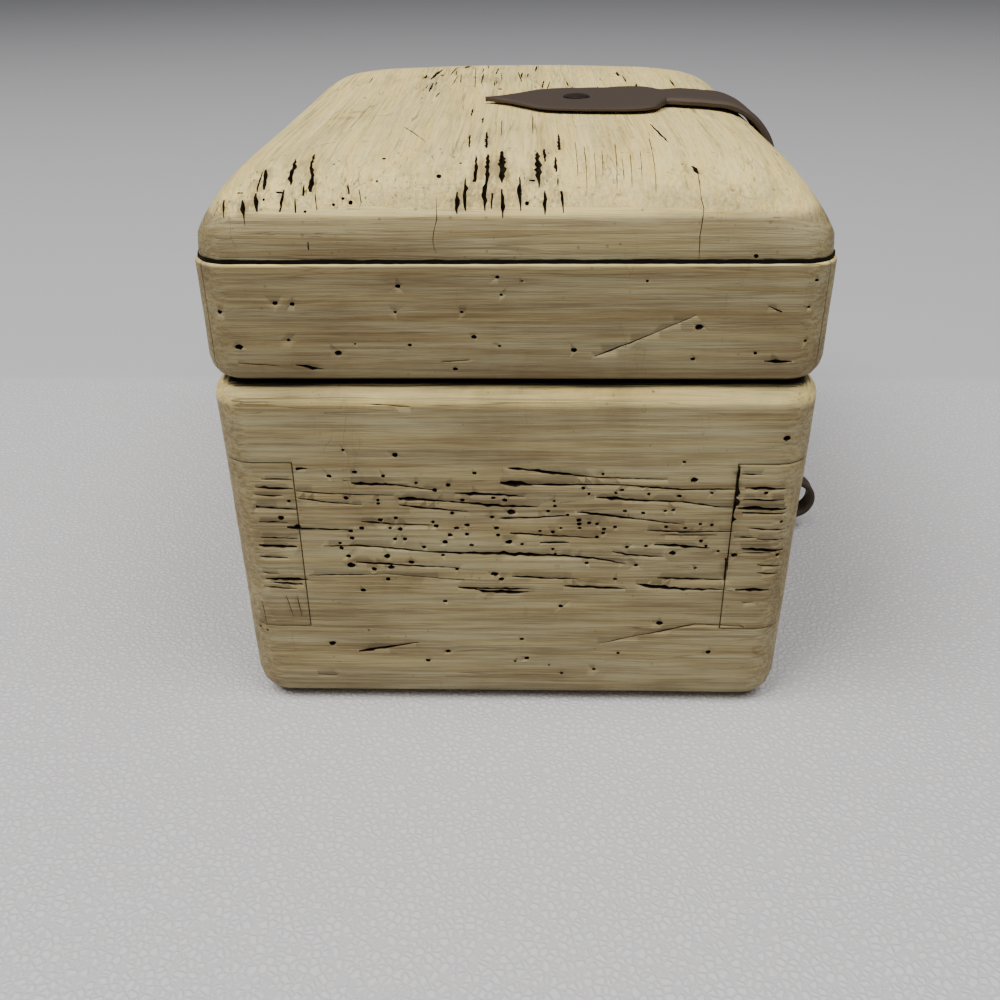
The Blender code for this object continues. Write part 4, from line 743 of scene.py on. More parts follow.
def marked_finishes(paint):
    """The finishes of a marked piece: its paint, the dark glaze of its cuts and the brown one of its scratches."""
    colours = sizes("colours")
    soot, glaze, brown = (tuple(c) for c in (colours.soot, colours.glaze, colours.brown))
    return [paint, rough_glaze("dark_glaze", soot, glaze, 0.22), rough_glaze("brown_glaze", brown, soot, 0.8)]


def rough_glaze(name, base, patches, share):
    """Rough glaze that fills gouges, worm holes or scratches."""
    finish = bpy.data.materials.get(name)
    if finish:
        return finish
    finish, tree, shader, place = new_finish(name)
    cloud = use_effect(tree, patches_effect(), {"Vector": place, "Scale": 420.0, "Low": 0.42, "High": 0.75})
    tree.links.new(blend(tree, calc(tree, "MULTIPLY", cloud["Mask"], share), base, patches), shader.inputs["Base Color"])
    tree.links.new(calc(tree, "ADD", calc(tree, "MULTIPLY", cloud["Mask"], 0.2), 0.7), shader.inputs["Roughness"])
    shader.inputs["Specular IOR Level"].default_value = 0.1
    relief(tree, shader, noise_value(tree, place, 1500.0, 3.0), 0.1 * MM, 0.7)
    return finish


def glue_finish():
    """Black squeezed-out glue."""
    finish = bpy.data.materials.get("dark_glue")
    if finish:
        return finish
    colours = sizes("colours")
    finish, tree, shader, place = new_finish("dark_glue")
    grains = noise_value(tree, place, 900.0, 4.0)
    colour = blend(tree, band(tree, grains, 0.55, 0.8), tuple(colours.glue), tuple(colours.soot))
    tree.links.new(colour, shader.inputs["Base Color"])
    tree.links.new(calc(tree, "ADD", calc(tree, "MULTIPLY", grains, 0.3), 0.55), shader.inputs["Roughness"])
    shader.inputs["Specular IOR Level"].default_value = 0.1
    relief(tree, shader, grains, 0.15 * MM, 0.6)
    return finish


def forged_iron(name="forged_iron", rust_share=1.0):
    """Hammered iron with rust, black forge scale, pits and small bright chips."""
    finish = bpy.data.materials.get(name)
    if finish:
        return finish
    colours = sizes("colours")
    finish, tree, shader, place = new_finish(name)
    rust = use_effect(tree, patches_effect(), {"Vector": place, "Scale": 75.0, "Low": 0.5 - 0.06 * rust_share, "High": 0.7})
    black = use_effect(tree, patches_effect(), {"Vector": stretched(tree, place, (1, 1, 1), shift=(0.3, 0.1, 0.2)), "Scale": 120.0, "Low": 0.5, "High": 0.72})
    pits = use_effect(tree, specks_effect(), {"Vector": place, "Scale": 620.0, "Size": 0.5, "Sparse": 0.55})
    chips = use_effect(tree, specks_effect(), {"Vector": stretched(tree, place, (1, 1, 1), shift=(0.7, 0.2, 0.4)), "Scale": 430.0, "Size": 0.34, "Sparse": 0.86})
    fine = noise_value(tree, place, 700.0, 5.0, 0.65)
    from_middle = calc(tree, "ABSOLUTE", add_node(tree, "ShaderNodeSeparateXYZ", {0: place}).outputs["Y"])
    blackened = band(tree, from_middle, 30 * MM, 60 * MM)
    rusty = calc(tree, "MULTIPLY", rust["Mask"], calc(tree, "SUBTRACT", 0.85, calc(tree, "MULTIPLY", blackened, 0.6)))
    colour = blend(tree, rusty, tuple(colours.iron), tuple(colours.rust))
    colour = blend(tree, calc(tree, "MULTIPLY", blackened, 0.45), colour, tuple(colours.scale_black))
    colour = blend(tree, calc(tree, "MULTIPLY", black["Mask"], 0.6), colour, tuple(colours.scale_black))
    colour = blend(tree, band(tree, fine, 0.5, 0.8), colour, tuple(c * 1.7 for c in colours.iron))
    colour = blend(tree, calc(tree, "MULTIPLY", pits["Mask"], 0.7), colour, tuple(colours.scale_black))
    colour = blend(tree, calc(tree, "MULTIPLY", chips["Mask"], 0.5), colour, tuple(colours.bright))
    tree.links.new(colour, shader.inputs["Base Color"])
    metal = calc(tree, "SUBTRACT", 0.75, calc(tree, "MULTIPLY", rust["Mask"], 0.65))
    tree.links.new(metal, shader.inputs["Metallic"])
    rough = calc(tree, "ADD", calc(tree, "MULTIPLY", rust["Mask"], 0.28), calc(tree, "MULTIPLY", fine, 0.24))
    tree.links.new(calc(tree, "ADD", rough, 0.36), shader.inputs["Roughness"])
    height = calc(tree, "SUBTRACT", fine, calc(tree, "MULTIPLY", pits["Mask"], 0.9))
    height = calc(tree, "ADD", height, calc(tree, "MULTIPLY", rust["Mask"], 0.3))
    relief(tree, shader, height, 0.16 * MM, 0.75)
    return finish


def worn_metal(name, base, stain, scale, rough_low):
    """Turned or rolled metal with stains in its hollows and fine wear lines."""
    finish = bpy.data.materials.get(name)
    if finish:
        return finish
    finish, tree, shader, place = new_finish(name)
    cloud = use_effect(tree, patches_effect(), {"Vector": place, "Scale": scale, "Low": 0.42, "High": 0.68})
    lines = use_effect(tree, hairlines_effect(), {"Vector": stretched(tree, place, (60, 700, 700)), "Width": 0.05, "Breaks": 0.42})
    pits = use_effect(tree, specks_effect(), {"Vector": place, "Scale": 900.0, "Size": 0.4, "Sparse": 0.7})
    colour = blend(tree, calc(tree, "MULTIPLY", cloud["Mask"], 0.75), tuple(base), tuple(stain))
    colour = blend(tree, calc(tree, "MULTIPLY", lines["Mask"], 0.3), colour, tuple(min(1.0, c * 1.5) for c in base))
    colour = blend(tree, calc(tree, "MULTIPLY", pits["Mask"], 0.6), colour, tuple(stain))
    tree.links.new(colour, shader.inputs["Base Color"])
    shader.inputs["Metallic"].default_value = 1.0
    tree.links.new(calc(tree, "ADD", calc(tree, "MULTIPLY", cloud["Mask"], 0.26), rough_low), shader.inputs["Roughness"])
    height = calc(tree, "SUBTRACT", calc(tree, "MULTIPLY", lines["Mask"], -0.4), pits["Mask"])
    relief(tree, shader, height, 0.06 * MM, 0.7)
    return finish


def sawn_wood(name, light, dark, grain, rough=0.6):
    """Sawn wood with growth rings, pores and a little colour drift."""
    finish = bpy.data.materials.get(name)
    if finish:
        return finish
    finish, tree, shader, place = new_finish(name)
    turn = {"X": (0.0, 0.0, 0.0), "Y": (0.0, 0.0, math.pi / 2)}[grain]
    laid = stretched(tree, place, (1, 1, 1), turn)
    ring_vector = stretched(tree, laid, (9, 70, 70), (0.5, 0.02, 0.0))
    rings = use_effect(tree, rings_effect(), {"Vector": ring_vector, "Bend": 1.6, "Rings": 2.6})
    fibres = use_effect(tree, streaks_effect(), {"Vector": stretched(tree, laid, (40, 900, 900))})
    pores = use_effect(tree, hairlines_effect(), {"Vector": stretched(tree, laid, (60, 1100, 1100)), "Width": 0.05, "Breaks": 0.46})
    cloud = use_effect(tree, patches_effect(), {"Vector": place, "Scale": 24.0, "Low": 0.35, "High": 0.7})
    colour = blend(tree, calc(tree, "MULTIPLY", rings["Rings"], 0.62), tuple(light), tuple(dark))
    colour = blend(tree, calc(tree, "MULTIPLY", fibres["Coarse"], 0.35), colour, tuple(dark))
    colour = blend(tree, calc(tree, "MULTIPLY", cloud["Mask"], 0.22), colour, tuple(min(1.0, c * 1.25) for c in light))
    colour = blend(tree, calc(tree, "MULTIPLY", pores["Mask"], 0.55), colour, tuple(c * 0.35 for c in dark))
    tree.links.new(colour, shader.inputs["Base Color"])
    tree.links.new(calc(tree, "ADD", calc(tree, "MULTIPLY", fibres["Fine"], 0.14), rough), shader.inputs["Roughness"])
    height = calc(tree, "SUBTRACT", calc(tree, "MULTIPLY", fibres["Coarse"], 0.5), pores["Mask"])
    relief(tree, shader, height, 0.08 * MM, 0.7)
    return finish


def floor_finish():
    """Pale coated cloth with a fine pebbled grain, a little darker beyond the box."""
    colours = sizes("colours")
    stage = sizes("stage")
    finish, tree, shader, place = new_finish("pale_floor")
    axes = add_node(tree, "ShaderNodeSeparateXYZ", {0: place}).outputs
    far = band(tree, axes["X"], stage.fold_x - 4 * MM, stage.fold_x + 10 * MM)
    bent = noise_value(tree, place, 420.0, 2.0)
    shifted = add_node(tree, "ShaderNodeVectorMath", {0: place, 1: calc(tree, "MULTIPLY", bent, 0.9 * MM)}, operation="ADD").outputs[0]
    cells = add_node(tree, "ShaderNodeTexVoronoi", {"Vector": shifted, "Scale": 520.0}, feature="DISTANCE_TO_EDGE")
    pebble = band(tree, cells.outputs["Distance"], 0.0, 0.3)
    cloud = noise_value(tree, place, 7.0, 3.0)
    colour = blend(tree, far, tuple(colours.floor), tuple(colours.backdrop))
    crease = calc(tree, "MULTIPLY", calc(tree, "SUBTRACT", 1.0, pebble), calc(tree, "SUBTRACT", 1.0, far))
    colour = blend(tree, calc(tree, "MULTIPLY", crease, 0.4), colour, tuple(c * 0.62 for c in colours.floor))
    colour = blend(tree, calc(tree, "MULTIPLY", band(tree, cloud, 0.4, 0.7), 0.06), colour, tuple(c * 0.8 for c in colours.floor))
    tree.links.new(colour, shader.inputs["Base Color"])
    tree.links.new(calc(tree, "ADD", calc(tree, "MULTIPLY", cloud, 0.1), 0.5), shader.inputs["Roughness"])
    shade = calc(tree, "MULTIPLY", pebble, calc(tree, "SUBTRACT", 1.0, far))
    relief(tree, shader, shade, 0.3 * MM, 0.7)
    return finish


# Mesh helpers


def put_in_scene(name, shape, finishes, smooth_angle=35):
    """Turn a bmesh into an object at the origin, shaded smooth but for its sharp edges."""
    mesh = bpy.data.meshes.new(name)
    shape.to_mesh(mesh)
    shape.free()
    for finish in finishes:
        mesh.materials.append(finish)
    mesh.shade_smooth()
    mesh.set_sharp_from_angle(angle=math.radians(smooth_angle))
    thing = bpy.data.objects.new(name, mesh)
    bpy.context.scene.collection.objects.link(thing)
    return thing


def carved(thing, forms, operation="DIFFERENCE"):
    """Cut forms from a piece for good, and delete the forms."""
    for form in forms:
        step = thing.modifiers.new("cut", "BOOLEAN")
        step.operation = operation
        step.solver = "EXACT"
        step.use_self = operation == "DIFFERENCE"
        step.object = form
    graph = bpy.context.evaluated_depsgraph_get()
    mesh = bpy.data.meshes.new_from_object(thing.evaluated_get(graph))
    old = thing.data
    name = old.name
    thing.modifiers.clear()
    thing.data = mesh
    bpy.data.meshes.remove(old)
    mesh.name = name
    mesh.shade_smooth()
    mesh.set_sharp_from_angle(angle=math.radians(35))
    for form in forms:
        mesh = form.data
        bpy.data.objects.remove(form)
        bpy.data.meshes.remove(mesh)
    return thing


def outwards(shape):
    """Merge doubles and turn all faces outwards."""
    bmesh.ops.remove_doubles(shape, verts=shape.verts[:], dist=0.001 * MM)
    bmesh.ops.recalc_face_normals(shape, faces=shape.faces[:])


def sweep(shape, sections, material=0):
    """A closed bar through a row of sections, each a ring of as many points."""
    count = len(sections[0])
    ring = bmesh.ops.create_circle(shape, cap_ends=True, segments=count, radius=1.0)["verts"]
    face = ring[0].link_faces[0]
    face.material_index = material
    corners = [loop.vert for loop in face.loops]
    for vert, place in zip(corners, sections[0]):
        vert.co = place
    for number, section in enumerate(sections[1:]):
        grown = bmesh.ops.extrude_face_region(shape, geom=[face])["geom"]
        if number:
            bmesh.ops.delete(shape, geom=[face], context="FACES_ONLY")
        face = next(g for g in grown if isinstance(g, bmesh.types.BMFace))
        fresh = {g for g in grown if isinstance(g, bmesh.types.BMVert)}
        following = {}
        for vert in fresh:
            for edge in vert.link_edges:
                other = edge.other_vert(vert)
                if other not in fresh:
                    following[other] = vert
        corners = [following[old] for old in corners]
        for vert, place in zip(corners, section):
            vert.co = place


def turned(shape, profile, centre, axis, segments):
    """Spin a profile of (radius, place along the axis) points about an axis through centre."""
    axis = Vector(axis)
    side = axis.orthogonal().normalized()
    points = [shape.verts.new(centre + side * radius + axis * along) for radius, along in profile]
    line = [shape.edges.new(pair) for pair in zip(points, points[1:])]
    bmesh.ops.spin(shape, geom=points + line, cent=centre, axis=axis, angle=math.tau, steps=segments, use_merge=True)
    outwards(shape)


def arc(centre, radius, start, end, steps, end_radius=None):
    """Points (y, z) on an arc, without its first point. The radius may change along it."""
    points = []
    last = radius if end_radius is None else end_radius
    for i in range(1, steps + 1):
        share = i / steps
        angle = start + (end - start) * share
        reach = radius + (last - radius) * share
        points.append((centre[0] + reach * math.cos(angle), centre[1] + reach * math.sin(angle)))
    return points


def line_points(start, end, steps):
    """Points on a straight run, without its first point."""
    return [(start[0] + (end[0] - start[0]) * i / steps, start[1] + (end[1] - start[1]) * i / steps) for i in range(1, steps + 1)]


def lengths_along(path):
    """Distance of each point of a path from its start."""
    total = [0.0]
    for a, b in zip(path, path[1:]):
        total.append(total[-1] + math.dist(a, b))
    return total


def interpolate(places, values, place):
    """Read a value from a table by straight interpolation."""
    if place <= places[0]:
        return values[0]
    for p0, p1, v0, v1 in zip(places, places[1:], values, values[1:]):
        if place <= p1:
            return v0 + (v1 - v0) * (place - p0) / (p1 - p0)
    return values[-1]


def eased(places, values, place):
    """Read a value from a table on a smooth curve through its points."""
    if place <= places[0] or place >= places[-1]:
        return interpolate(places, values, place)
    i = max(k for k in range(len(places) - 1) if places[k] <= place)
    span = places[i + 1] - places[i]
    t = (place - places[i]) / span
    slopes = []
    for k in (i, i + 1):
        a, b = max(0, k - 1), min(len(places) - 1, k + 1)
        slopes.append((values[b] - values[a]) / (places[b] - places[a]) * span)
    h0 = 2 * t**3 - 3 * t**2 + 1
    return h0 * values[i] + (1 - h0) * values[i + 1] + (t**3 - 2 * t**2 + t) * slopes[0] + (t**3 - t**2) * slopes[1]


# Wood


def worn_in(place, low, high):
    """Where a point of the wood comes to lie after wear, which only ever takes wood away."""
    case = sizes("case")
    moved = place.copy()
    for axis in range(3):
        for side, limit in ((-1, low[axis]), (1, high[axis])):
            if axis == 2 and side == -1:
                continue
            inside = (limit - place[axis]) * side
            weight = max(0.0, 1.0 - inside / case.worn_band)
            if weight:
                spot = place / case.uneven_length + Vector((7.3 * axis, 3.1 * side, 0.0))
                wave = 0.5 + 0.5 * noise.noise(spot) + 0.22 * noise.noise(spot * 3.3)
                moved[axis] -= side * case.uneven * max(0.0, wave) * weight
    return moved


def wood_blank(node, low, high, finishes):
    """A merged copy of a packed board with eased edges, a grid of points and worn faces."""
    case = sizes("case")
    shape = bmesh.new()
    shape.from_mesh(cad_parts[node].data)
    bmesh.ops.remove_doubles(shape, verts=shape.verts[:], dist=0.002 * MM)
    flat = math.radians(1.0)
    bmesh.ops.dissolve_limit(shape, angle_limit=flat, verts=shape.verts[:], edges=shape.edges[:])
    sharp = [e for e in shape.edges if e.is_manifold and e.calc_face_angle(0.0) > math.radians(60)]
    bmesh.ops.bevel(
        shape, geom=sharp, offset=case.eased_edge, segments=1, profile=0.5, affect="EDGES", clamp_overlap=True, material=-1
    )
    lowest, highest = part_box(node)
    for axis in range(3):
        normal = Vector()
        normal[axis] = 1.0
        steps = max(1, round((highest[axis] - lowest[axis]) / case.grid))
        for i in range(1, steps):
            place = lowest.copy()
            place[axis] += (highest[axis] - lowest[axis]) * i / steps
            bmesh.ops.bisect_plane(
                shape,
                geom=shape.verts[:] + shape.edges[:] + shape.faces[:],
                dist=0.01 * MM,
                plane_co=place,
                plane_no=normal,
            )
    for vert in shape.verts:
        vert.co = worn_in(vert.co, low, high)
    for face in shape.faces:
        face.material_index = 0
    bmesh.ops.triangulate(shape, faces=shape.faces[:])
    return put_in_scene("worn_" + node, shape, finishes)


def surface_of(things):
    """A search tree over the faces of several pieces."""
    shape = bmesh.new()
    for thing in things:
        shape.from_mesh(thing.data)
    tree = BVHTree.FromBMesh(shape)
    shape.free()
    return tree


def camera_axes():
    """Place of the camera and its forward, right and up directions."""
    stage = sizes("stage")
    flat = math.cos(stage.pitch)
    forward = Vector((flat * math.cos(stage.yaw), flat * math.sin(stage.yaw), -math.sin(stage.pitch)))
    level = forward.cross(Vector((0, 0, 1))).normalized()
    upward = level.cross(forward)
    right = level * math.cos(stage.roll) + upward * math.sin(stage.roll)
    top = upward * math.cos(stage.roll) - level * math.sin(stage.roll)
    place = Vector((-HALF_LENGTH - stage.camera_gap, stage.camera_side, stage.camera_height))
    return place, forward, right, top


def seen_spot(surface, column, row):
    """The point of a surface behind a pixel of the reference view, its normal and one pixel's width there."""
    stage = sizes("stage")
    place, forward, right, top = camera_axes()
    sight = forward + right * ((column - IMAGE_MIDDLE) / stage.focal_px) - top * ((row - IMAGE_MIDDLE) / stage.focal_px)
    spot, normal, _, _ = surface.ray_cast(place, sight.normalized())
    if spot is None:
        return None
    return spot, normal, (spot - place).dot(forward) / stage.focal_px


def facing_spot(surface, place, direction):
    """The point of a surface that a line meets, and its normal."""
    spot, normal, _, _ = surface.ray_cast(place, direction)
    return None if spot is None else (spot, normal)


def cut_gouge(shape, surface, track, chance):
    """Add the form of one tapered gouge along (place, normal, width) points. Fine ones are scratches."""
    marks = sizes("marks")
    lengths = lengths_along([place for place, _, _ in track])
    steps = max(3, round(lengths[-1] / marks.step))
    finish = 1 if max(width for _, _, width in track) > marks.scratch else 2
    sections = []
    for i in range(steps + 1):
        share = i / steps
        at = lengths[-1] * share
        k = max(j for j in range(len(track) - 1) if lengths[j] <= at + 1e-9)
        span = max(1e-9, lengths[k + 1] - lengths[k])
        t = min(1.0, (at - lengths[k]) / span)
        place = surface.find_nearest(track[k][0].lerp(track[k + 1][0], t))[0]
        normal = track[k][1].lerp(track[k + 1][1], t).normalized()
        width = track[k][2] + (track[k + 1][2] - track[k][2]) * t
        end = min(1.0, 0.5 + 1.2 * steps * min(share, 1 - share) / 4)
        width *= end * chance.uniform(0.68, 1.4) * marks.spread
        run = (track[k + 1][0] - track[k][0]).normalized()
        side = normal.cross(run).normalized()
        place = place + side * (width * chance.uniform(-0.2, 0.2))
        depth = min(marks.most_depth, max(marks.least_depth, width * marks.gouge_depth)) * (0.35 + 0.65 * end)
        half = width / 2
        outline = (
            (-half * 1.15, marks.lift),
            (-half, 0.0),
            (-half * chance.uniform(0.5, 0.75), -depth * 0.7),
            (half * chance.uniform(-0.2, 0.2), -depth),
            (half * chance.uniform(0.5, 0.75), -depth * 0.7),
            (half, 0.0),
            (half * 1.15, marks.lift),
        )
        sections.append([place + side * u + normal * v for u, v in outline])
    sweep(shape, sections, finish)


def cut_hole(shape, spot, normal, width, chance):
    """Add the form of one ragged worm hole, wider along the grain than across it."""
    marks = sizes("marks")
    lean = Vector((chance.uniform(-0.25, 0.25), chance.uniform(-0.25, 0.25), chance.uniform(-0.25, 0.25)))
    axis = (normal + lean).normalized()
    depth = marks.hole_depth * chance.uniform(0.7, 1.2)
    turn = axis.to_track_quat("Z", "Y").to_matrix().to_4x4()
    middle = spot + axis * (marks.lift - depth) / 2
    grown = bmesh.ops.create_cone(
        shape,
        cap_ends=True,
        cap_tris=False,
        segments=9,
        radius1=width * 0.36,
        radius2=width * 0.5,
        depth=depth + marks.lift,
        matrix=Matrix.Translation(middle) @ turn,
    )["verts"]
    grain = Vector((0, 1, 0)) if abs(normal.x) > 0.7 else Vector((1, 0, 0))
    stretch = chance.uniform(0.15, 0.55)
    for vert in grown:
        vert.co += grain * ((vert.co - middle).dot(grain) * stretch)
        vert.co += Vector((chance.uniform(-1, 1), chance.uniform(-1, 1), chance.uniform(-1, 1))) * (width * 0.1)
        for face in vert.link_faces:
            face.material_index = 1


def seen_marks(surface, gouges, holes):
    """Every gouge, as a track, and every hole that the reference view shows on these pieces."""
    tracks = []
    for chain in gouges:
        track = []
        for column, row, width in chain:
            found = seen_spot(surface, column, row)
            if found:
                spot, normal, pixel = found
                track.append((spot, normal, width * pixel))
        if len(track) > 1:
            tracks.append(track)
    spots = []
    for column, row, width in holes:
        found = seen_spot(surface, column, row)
        if found:
            spots.append((found[0], found[1], width * found[2]))
    return tracks, spots


def corners_of(mesh):
    """Lowest and highest corner of a mesh's box."""
    places = [[vert.co[axis] for vert in mesh.vertices] for axis in range(3)]
    return [min(p) for p in places], [max(p) for p in places]


def mark_forms(surface, tracks, spots, chance):
    """A small closed form for each gouge and each hole."""
    forms = []
    for mark in tracks + spots:
        shape = bmesh.new()
        if isinstance(mark, list):
            cut_gouge(shape, surface, mark, chance)
        else:
            cut_hole(shape, *mark, chance)
        bmesh.ops.recalc_face_normals(shape, faces=shape.faces[:])
        bmesh.ops.triangulate(shape, faces=shape.faces[:])
        form = bpy.data.meshes.new("mark")
        shape.to_mesh(form)
        shape.free()
        forms.append(form)
    return forms


def apart(first, second):
    """Whether two boxes, each given by its lowest and highest corner, don't touch."""
    return any(first[1][axis] < second[0][axis] or second[1][axis] < first[0][axis] for axis in range(3))


def cut_marks(thing, forms):
    """Cut from a piece the marks that reach it."""
    reach = corners_of(thing.data)
    shape = bmesh.new()
    for form in forms:
        if not apart(corners_of(form), reach):
            shape.from_mesh(form)
    return carved(thing, [put_in_scene("marks", shape, list(thing.data.materials))])


def stain(things, surface, tracks, spots, smudges):
    """Store in a UV map how strongly the wood is stained round its gouges, holes and smudges."""
    marks = sizes("marks")
    points = [(spot, min(0.5, width / MM * 0.3)) for spot, _, width in spots]
    for track in tracks:
        for a, b in zip(track, track[1:]):
            steps = max(1, round((b[0] - a[0]).length / marks.step))
            for i in range(steps + 1):
                width = a[2] + (b[2] - a[2]) * i / steps
                points.append((a[0].lerp(b[0], i / steps), min(0.6, width / MM * 0.42)))
    tree = KDTree(len(points))
    for number, (place, _) in enumerate(points):
        tree.insert(place, number)
    tree.balance()
    pools = []
    for column, row, width, strength in smudges:
        found = seen_spot(surface, column, row)
        if found:
            pools.append((found[0], width * found[2], strength))
    for thing in things:
        levels = []
        for vert in thing.data.vertices:
            clear = 1.0
            for _, number, distance in tree.find_range(vert.co, 2.4 * marks.halo):
                clear *= 1.0 - points[number][1] * math.exp(-((distance / marks.halo) ** 2))
            for place, reach, strength in pools:
                clear *= 1.0 - strength * math.exp(-(((vert.co - place).length / reach) ** 2))
            levels.append(1.0 - clear)
        layer = thing.data.uv_layers.new(name=STAIN_MAP)
        for loop, place in zip(thing.data.loops, layer.data):
            place.uv = (levels[loop.vertex_index], 0.0)


def scattered_marks(surface, face, gouges, holes, chance):
    """Marks like the seen ones, on a face that the reference view doesn't show."""
    tracks, spots = [], []
    middle, along, across, outward = (Vector(v) for v in face)
    clusters = [(chance.uniform(-0.55, 0.55), chance.uniform(-0.45, 0.45)) for _ in range(3)]
    start = middle + outward * (20 * MM)
    for number in range(gouges):
        centre = clusters[number % 3]
        u = max(-0.86, min(0.86, chance.gauss(centre[0], 0.3)))
        v = max(-0.86, min(0.86, chance.gauss(centre[1], 0.28)))
        length = chance.uniform(5, 22) * MM
        slope = chance.gauss(0.0, 0.05)
        width = chance.choice((0.25, 0.3, 0.35, 0.45, 0.6, 0.85)) * MM
        track = []
        for share in (-0.5, -0.2, 0.15, 0.5):
            run = along.normalized() * (length * share) + across.normalized() * (length * share * slope)
            found = facing_spot(surface, start + along * u + across * v + run, -outward)
            if found and found[1].dot(outward) > 0.75:
                swell = 1.0 if abs(share) < 0.5 else 0.5
                track.append((*found, width * swell))
        if len(track) > 1:
            tracks.append(track)
    for number in range(holes):
        centre = clusters[number % 3]
        u = max(-0.9, min(0.9, chance.gauss(centre[0], 0.4)))
        v = max(-0.9, min(0.9, chance.gauss(centre[1], 0.4)))
        found = facing_spot(surface, start + along * u + across * v, -outward)
        if found and found[1].dot(outward) > 0.75:
            spots.append((*found, chance.choice((0.6, 0.8, 0.9, 1.1, 1.6)) * MM))
    return tracks, spots


def painted_finish(node):
    """The finishes of one piece of the case, rubbed clean with a painted highlight and darkened by painted shade at its
    joints, where that part of the case is.
    """
    paint = sizes("paint")
    never = 2 * SLAB_HIGH
    reach = HALF_LENGTH
    shade = 1.0 if node in BODY_BOARDS else paint.lid_shade
    if node in BODY_BOARDS:
        # Body: cream strip along the rim, rubbed clean with a painted highlight; painted shade at the rim's top, in the
        # groove under the lid.
        word, low, high = "body", BODY_LOW, BODY_HIGH
        clean_highlit_heights = (high - paint.clean_highlit_rim - paint.fade, high - paint.clean_highlit_rim, high - paint.dark_rim, high)
        joint_shade_heights = (high - paint.dark_rim, high)
    elif node in LID_RAILS:
        # Rails: cream top edge, rubbed clean with a painted highlight; painted shade along the bottom edge, over the
        # groove.
        word, low, high = "rail", LID_LOW, SLAB_HIGH
        clean_highlit_heights = (LID_SEAM - paint.dark_rim, LID_SEAM, never, never + paint.fade)
        joint_shade_heights = (LID_LOW + 2 * paint.dark_rim, LID_LOW)
    else:
        # Slab: cream top, rubbed paint with a painted highlight, over the wall with its painted shade; a darker joint
        # at its foot by the glue.
        word, low, high = "slab", LID_LOW, SLAB_HIGH
        clean_highlit_heights = (SLAB_LOW + paint.wall_height, SLAB_LOW + paint.wall_height + paint.fade, never, never + paint.fade)
        joint_shade_heights = (SLAB_LOW + paint.dark_rim / 2, SLAB_LOW)
        reach = paint.wall_depth
    half_size = (HALF_LENGTH, HALF_DEPTH, (high - low) / 2)
    middle = (0.0, 0.0, (high + low) / 2)
    return marked_finishes(painted_wood(f"painted_wood_{word}", reach, shade, half_size, middle, clean_highlit_heights, joint_shade_heights))


class CIGARBOX_OT_body_boards(bpy.types.Operator):
    """Worn boards of the body, with their gouges and worm holes"""

    bl_idname = "cigarbox.body_boards"
    bl_label = "Body boards"

    def execute(self, context):
        chance = random.Random(sizes("marks").seed)
        low = (-HALF_LENGTH, -HALF_DEPTH, BODY_LOW)
        high = (HALF_LENGTH, HALF_DEPTH, BODY_HIGH)
        boards = [wood_blank(node, low, high, painted_finish(node)) for node in BODY_BOARDS]
        surface = surface_of(boards)
        tracks, spots = seen_marks(surface, END_GOUGES_PX + FINGER_GOUGES_PX, END_HOLES_PX)
        middle = (BODY_LOW + BODY_HIGH) / 2
        rise = (0, 0, middle * 0.8)
        faces = (
            ((0, -HALF_DEPTH, middle), (HALF_LENGTH * 0.85, 0, 0), rise, (0, -1, 0)),
            ((0, HALF_DEPTH, middle), (HALF_LENGTH * 0.85, 0, 0), rise, (0, 1, 0)),
            ((HALF_LENGTH, 0, middle), (0, HALF_DEPTH * 0.85, 0), rise, (1, 0, 0)),
        )
        for face in faces:
            more_tracks, more_spots = scattered_marks(surface, face, 34, 70, chance)
            tracks += more_tracks
            spots += more_spots
        stain(boards, surface, tracks, spots, END_SMUDGES_PX)
        forms = mark_forms(surface, tracks, spots, chance)
        for node, board in zip(BODY_BOARDS, boards):
            cut_marks(board, forms)
            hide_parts(node)
            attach(board, "box")
        return {"FINISHED"}


class CIGARBOX_OT_lid_rails(bpy.types.Operator):
    """Worn mitred rails of the lid's frame"""

    bl_idname = "cigarbox.lid_rails"
    bl_label = "Lid rails"

    def execute(self, context):
        chance = random.Random(sizes("marks").seed + 1)
        low = (-HALF_LENGTH, -HALF_DEPTH, LID_LOW)
        high = (HALF_LENGTH, HALF_DEPTH, LID_SEAM + sizes("case").worn_band)
        rails = [wood_blank(node, low, high, painted_finish(node)) for node in LID_RAILS]
        surface = surface_of(rails)
        tracks, spots = seen_marks(surface, RAIL_GOUGES_PX, RAIL_HOLES_PX)
        middle = (LID_LOW + LID_SEAM) / 2
        rise = (0, 0, (LID_SEAM - LID_LOW) * 0.36)
        faces = (
            ((0, -HALF_DEPTH, middle), (HALF_LENGTH * 0.85, 0, 0), rise, (0, -1, 0)),
            ((0, HALF_DEPTH, middle), (HALF_LENGTH * 0.85, 0, 0), rise, (0, 1, 0)),
            ((HALF_LENGTH, 0, middle), (0, HALF_DEPTH * 0.85, 0), rise, (1, 0, 0)),
        )
        for face in faces:
            more_tracks, more_spots = scattered_marks(surface, face, 5, 22, chance)
            tracks += more_tracks
            spots += more_spots
        stain(rails, surface, tracks, spots, RAIL_SMUDGES_PX)
        forms = mark_forms(surface, tracks, spots, chance)
        for node, rail in zip(LID_RAILS, rails):
            cut_marks(rail, forms)
            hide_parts(node)
            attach(rail, "lid")
        return {"FINISHED"}


DOME_RISE = SLAB_HIGH - SLAB_LOW

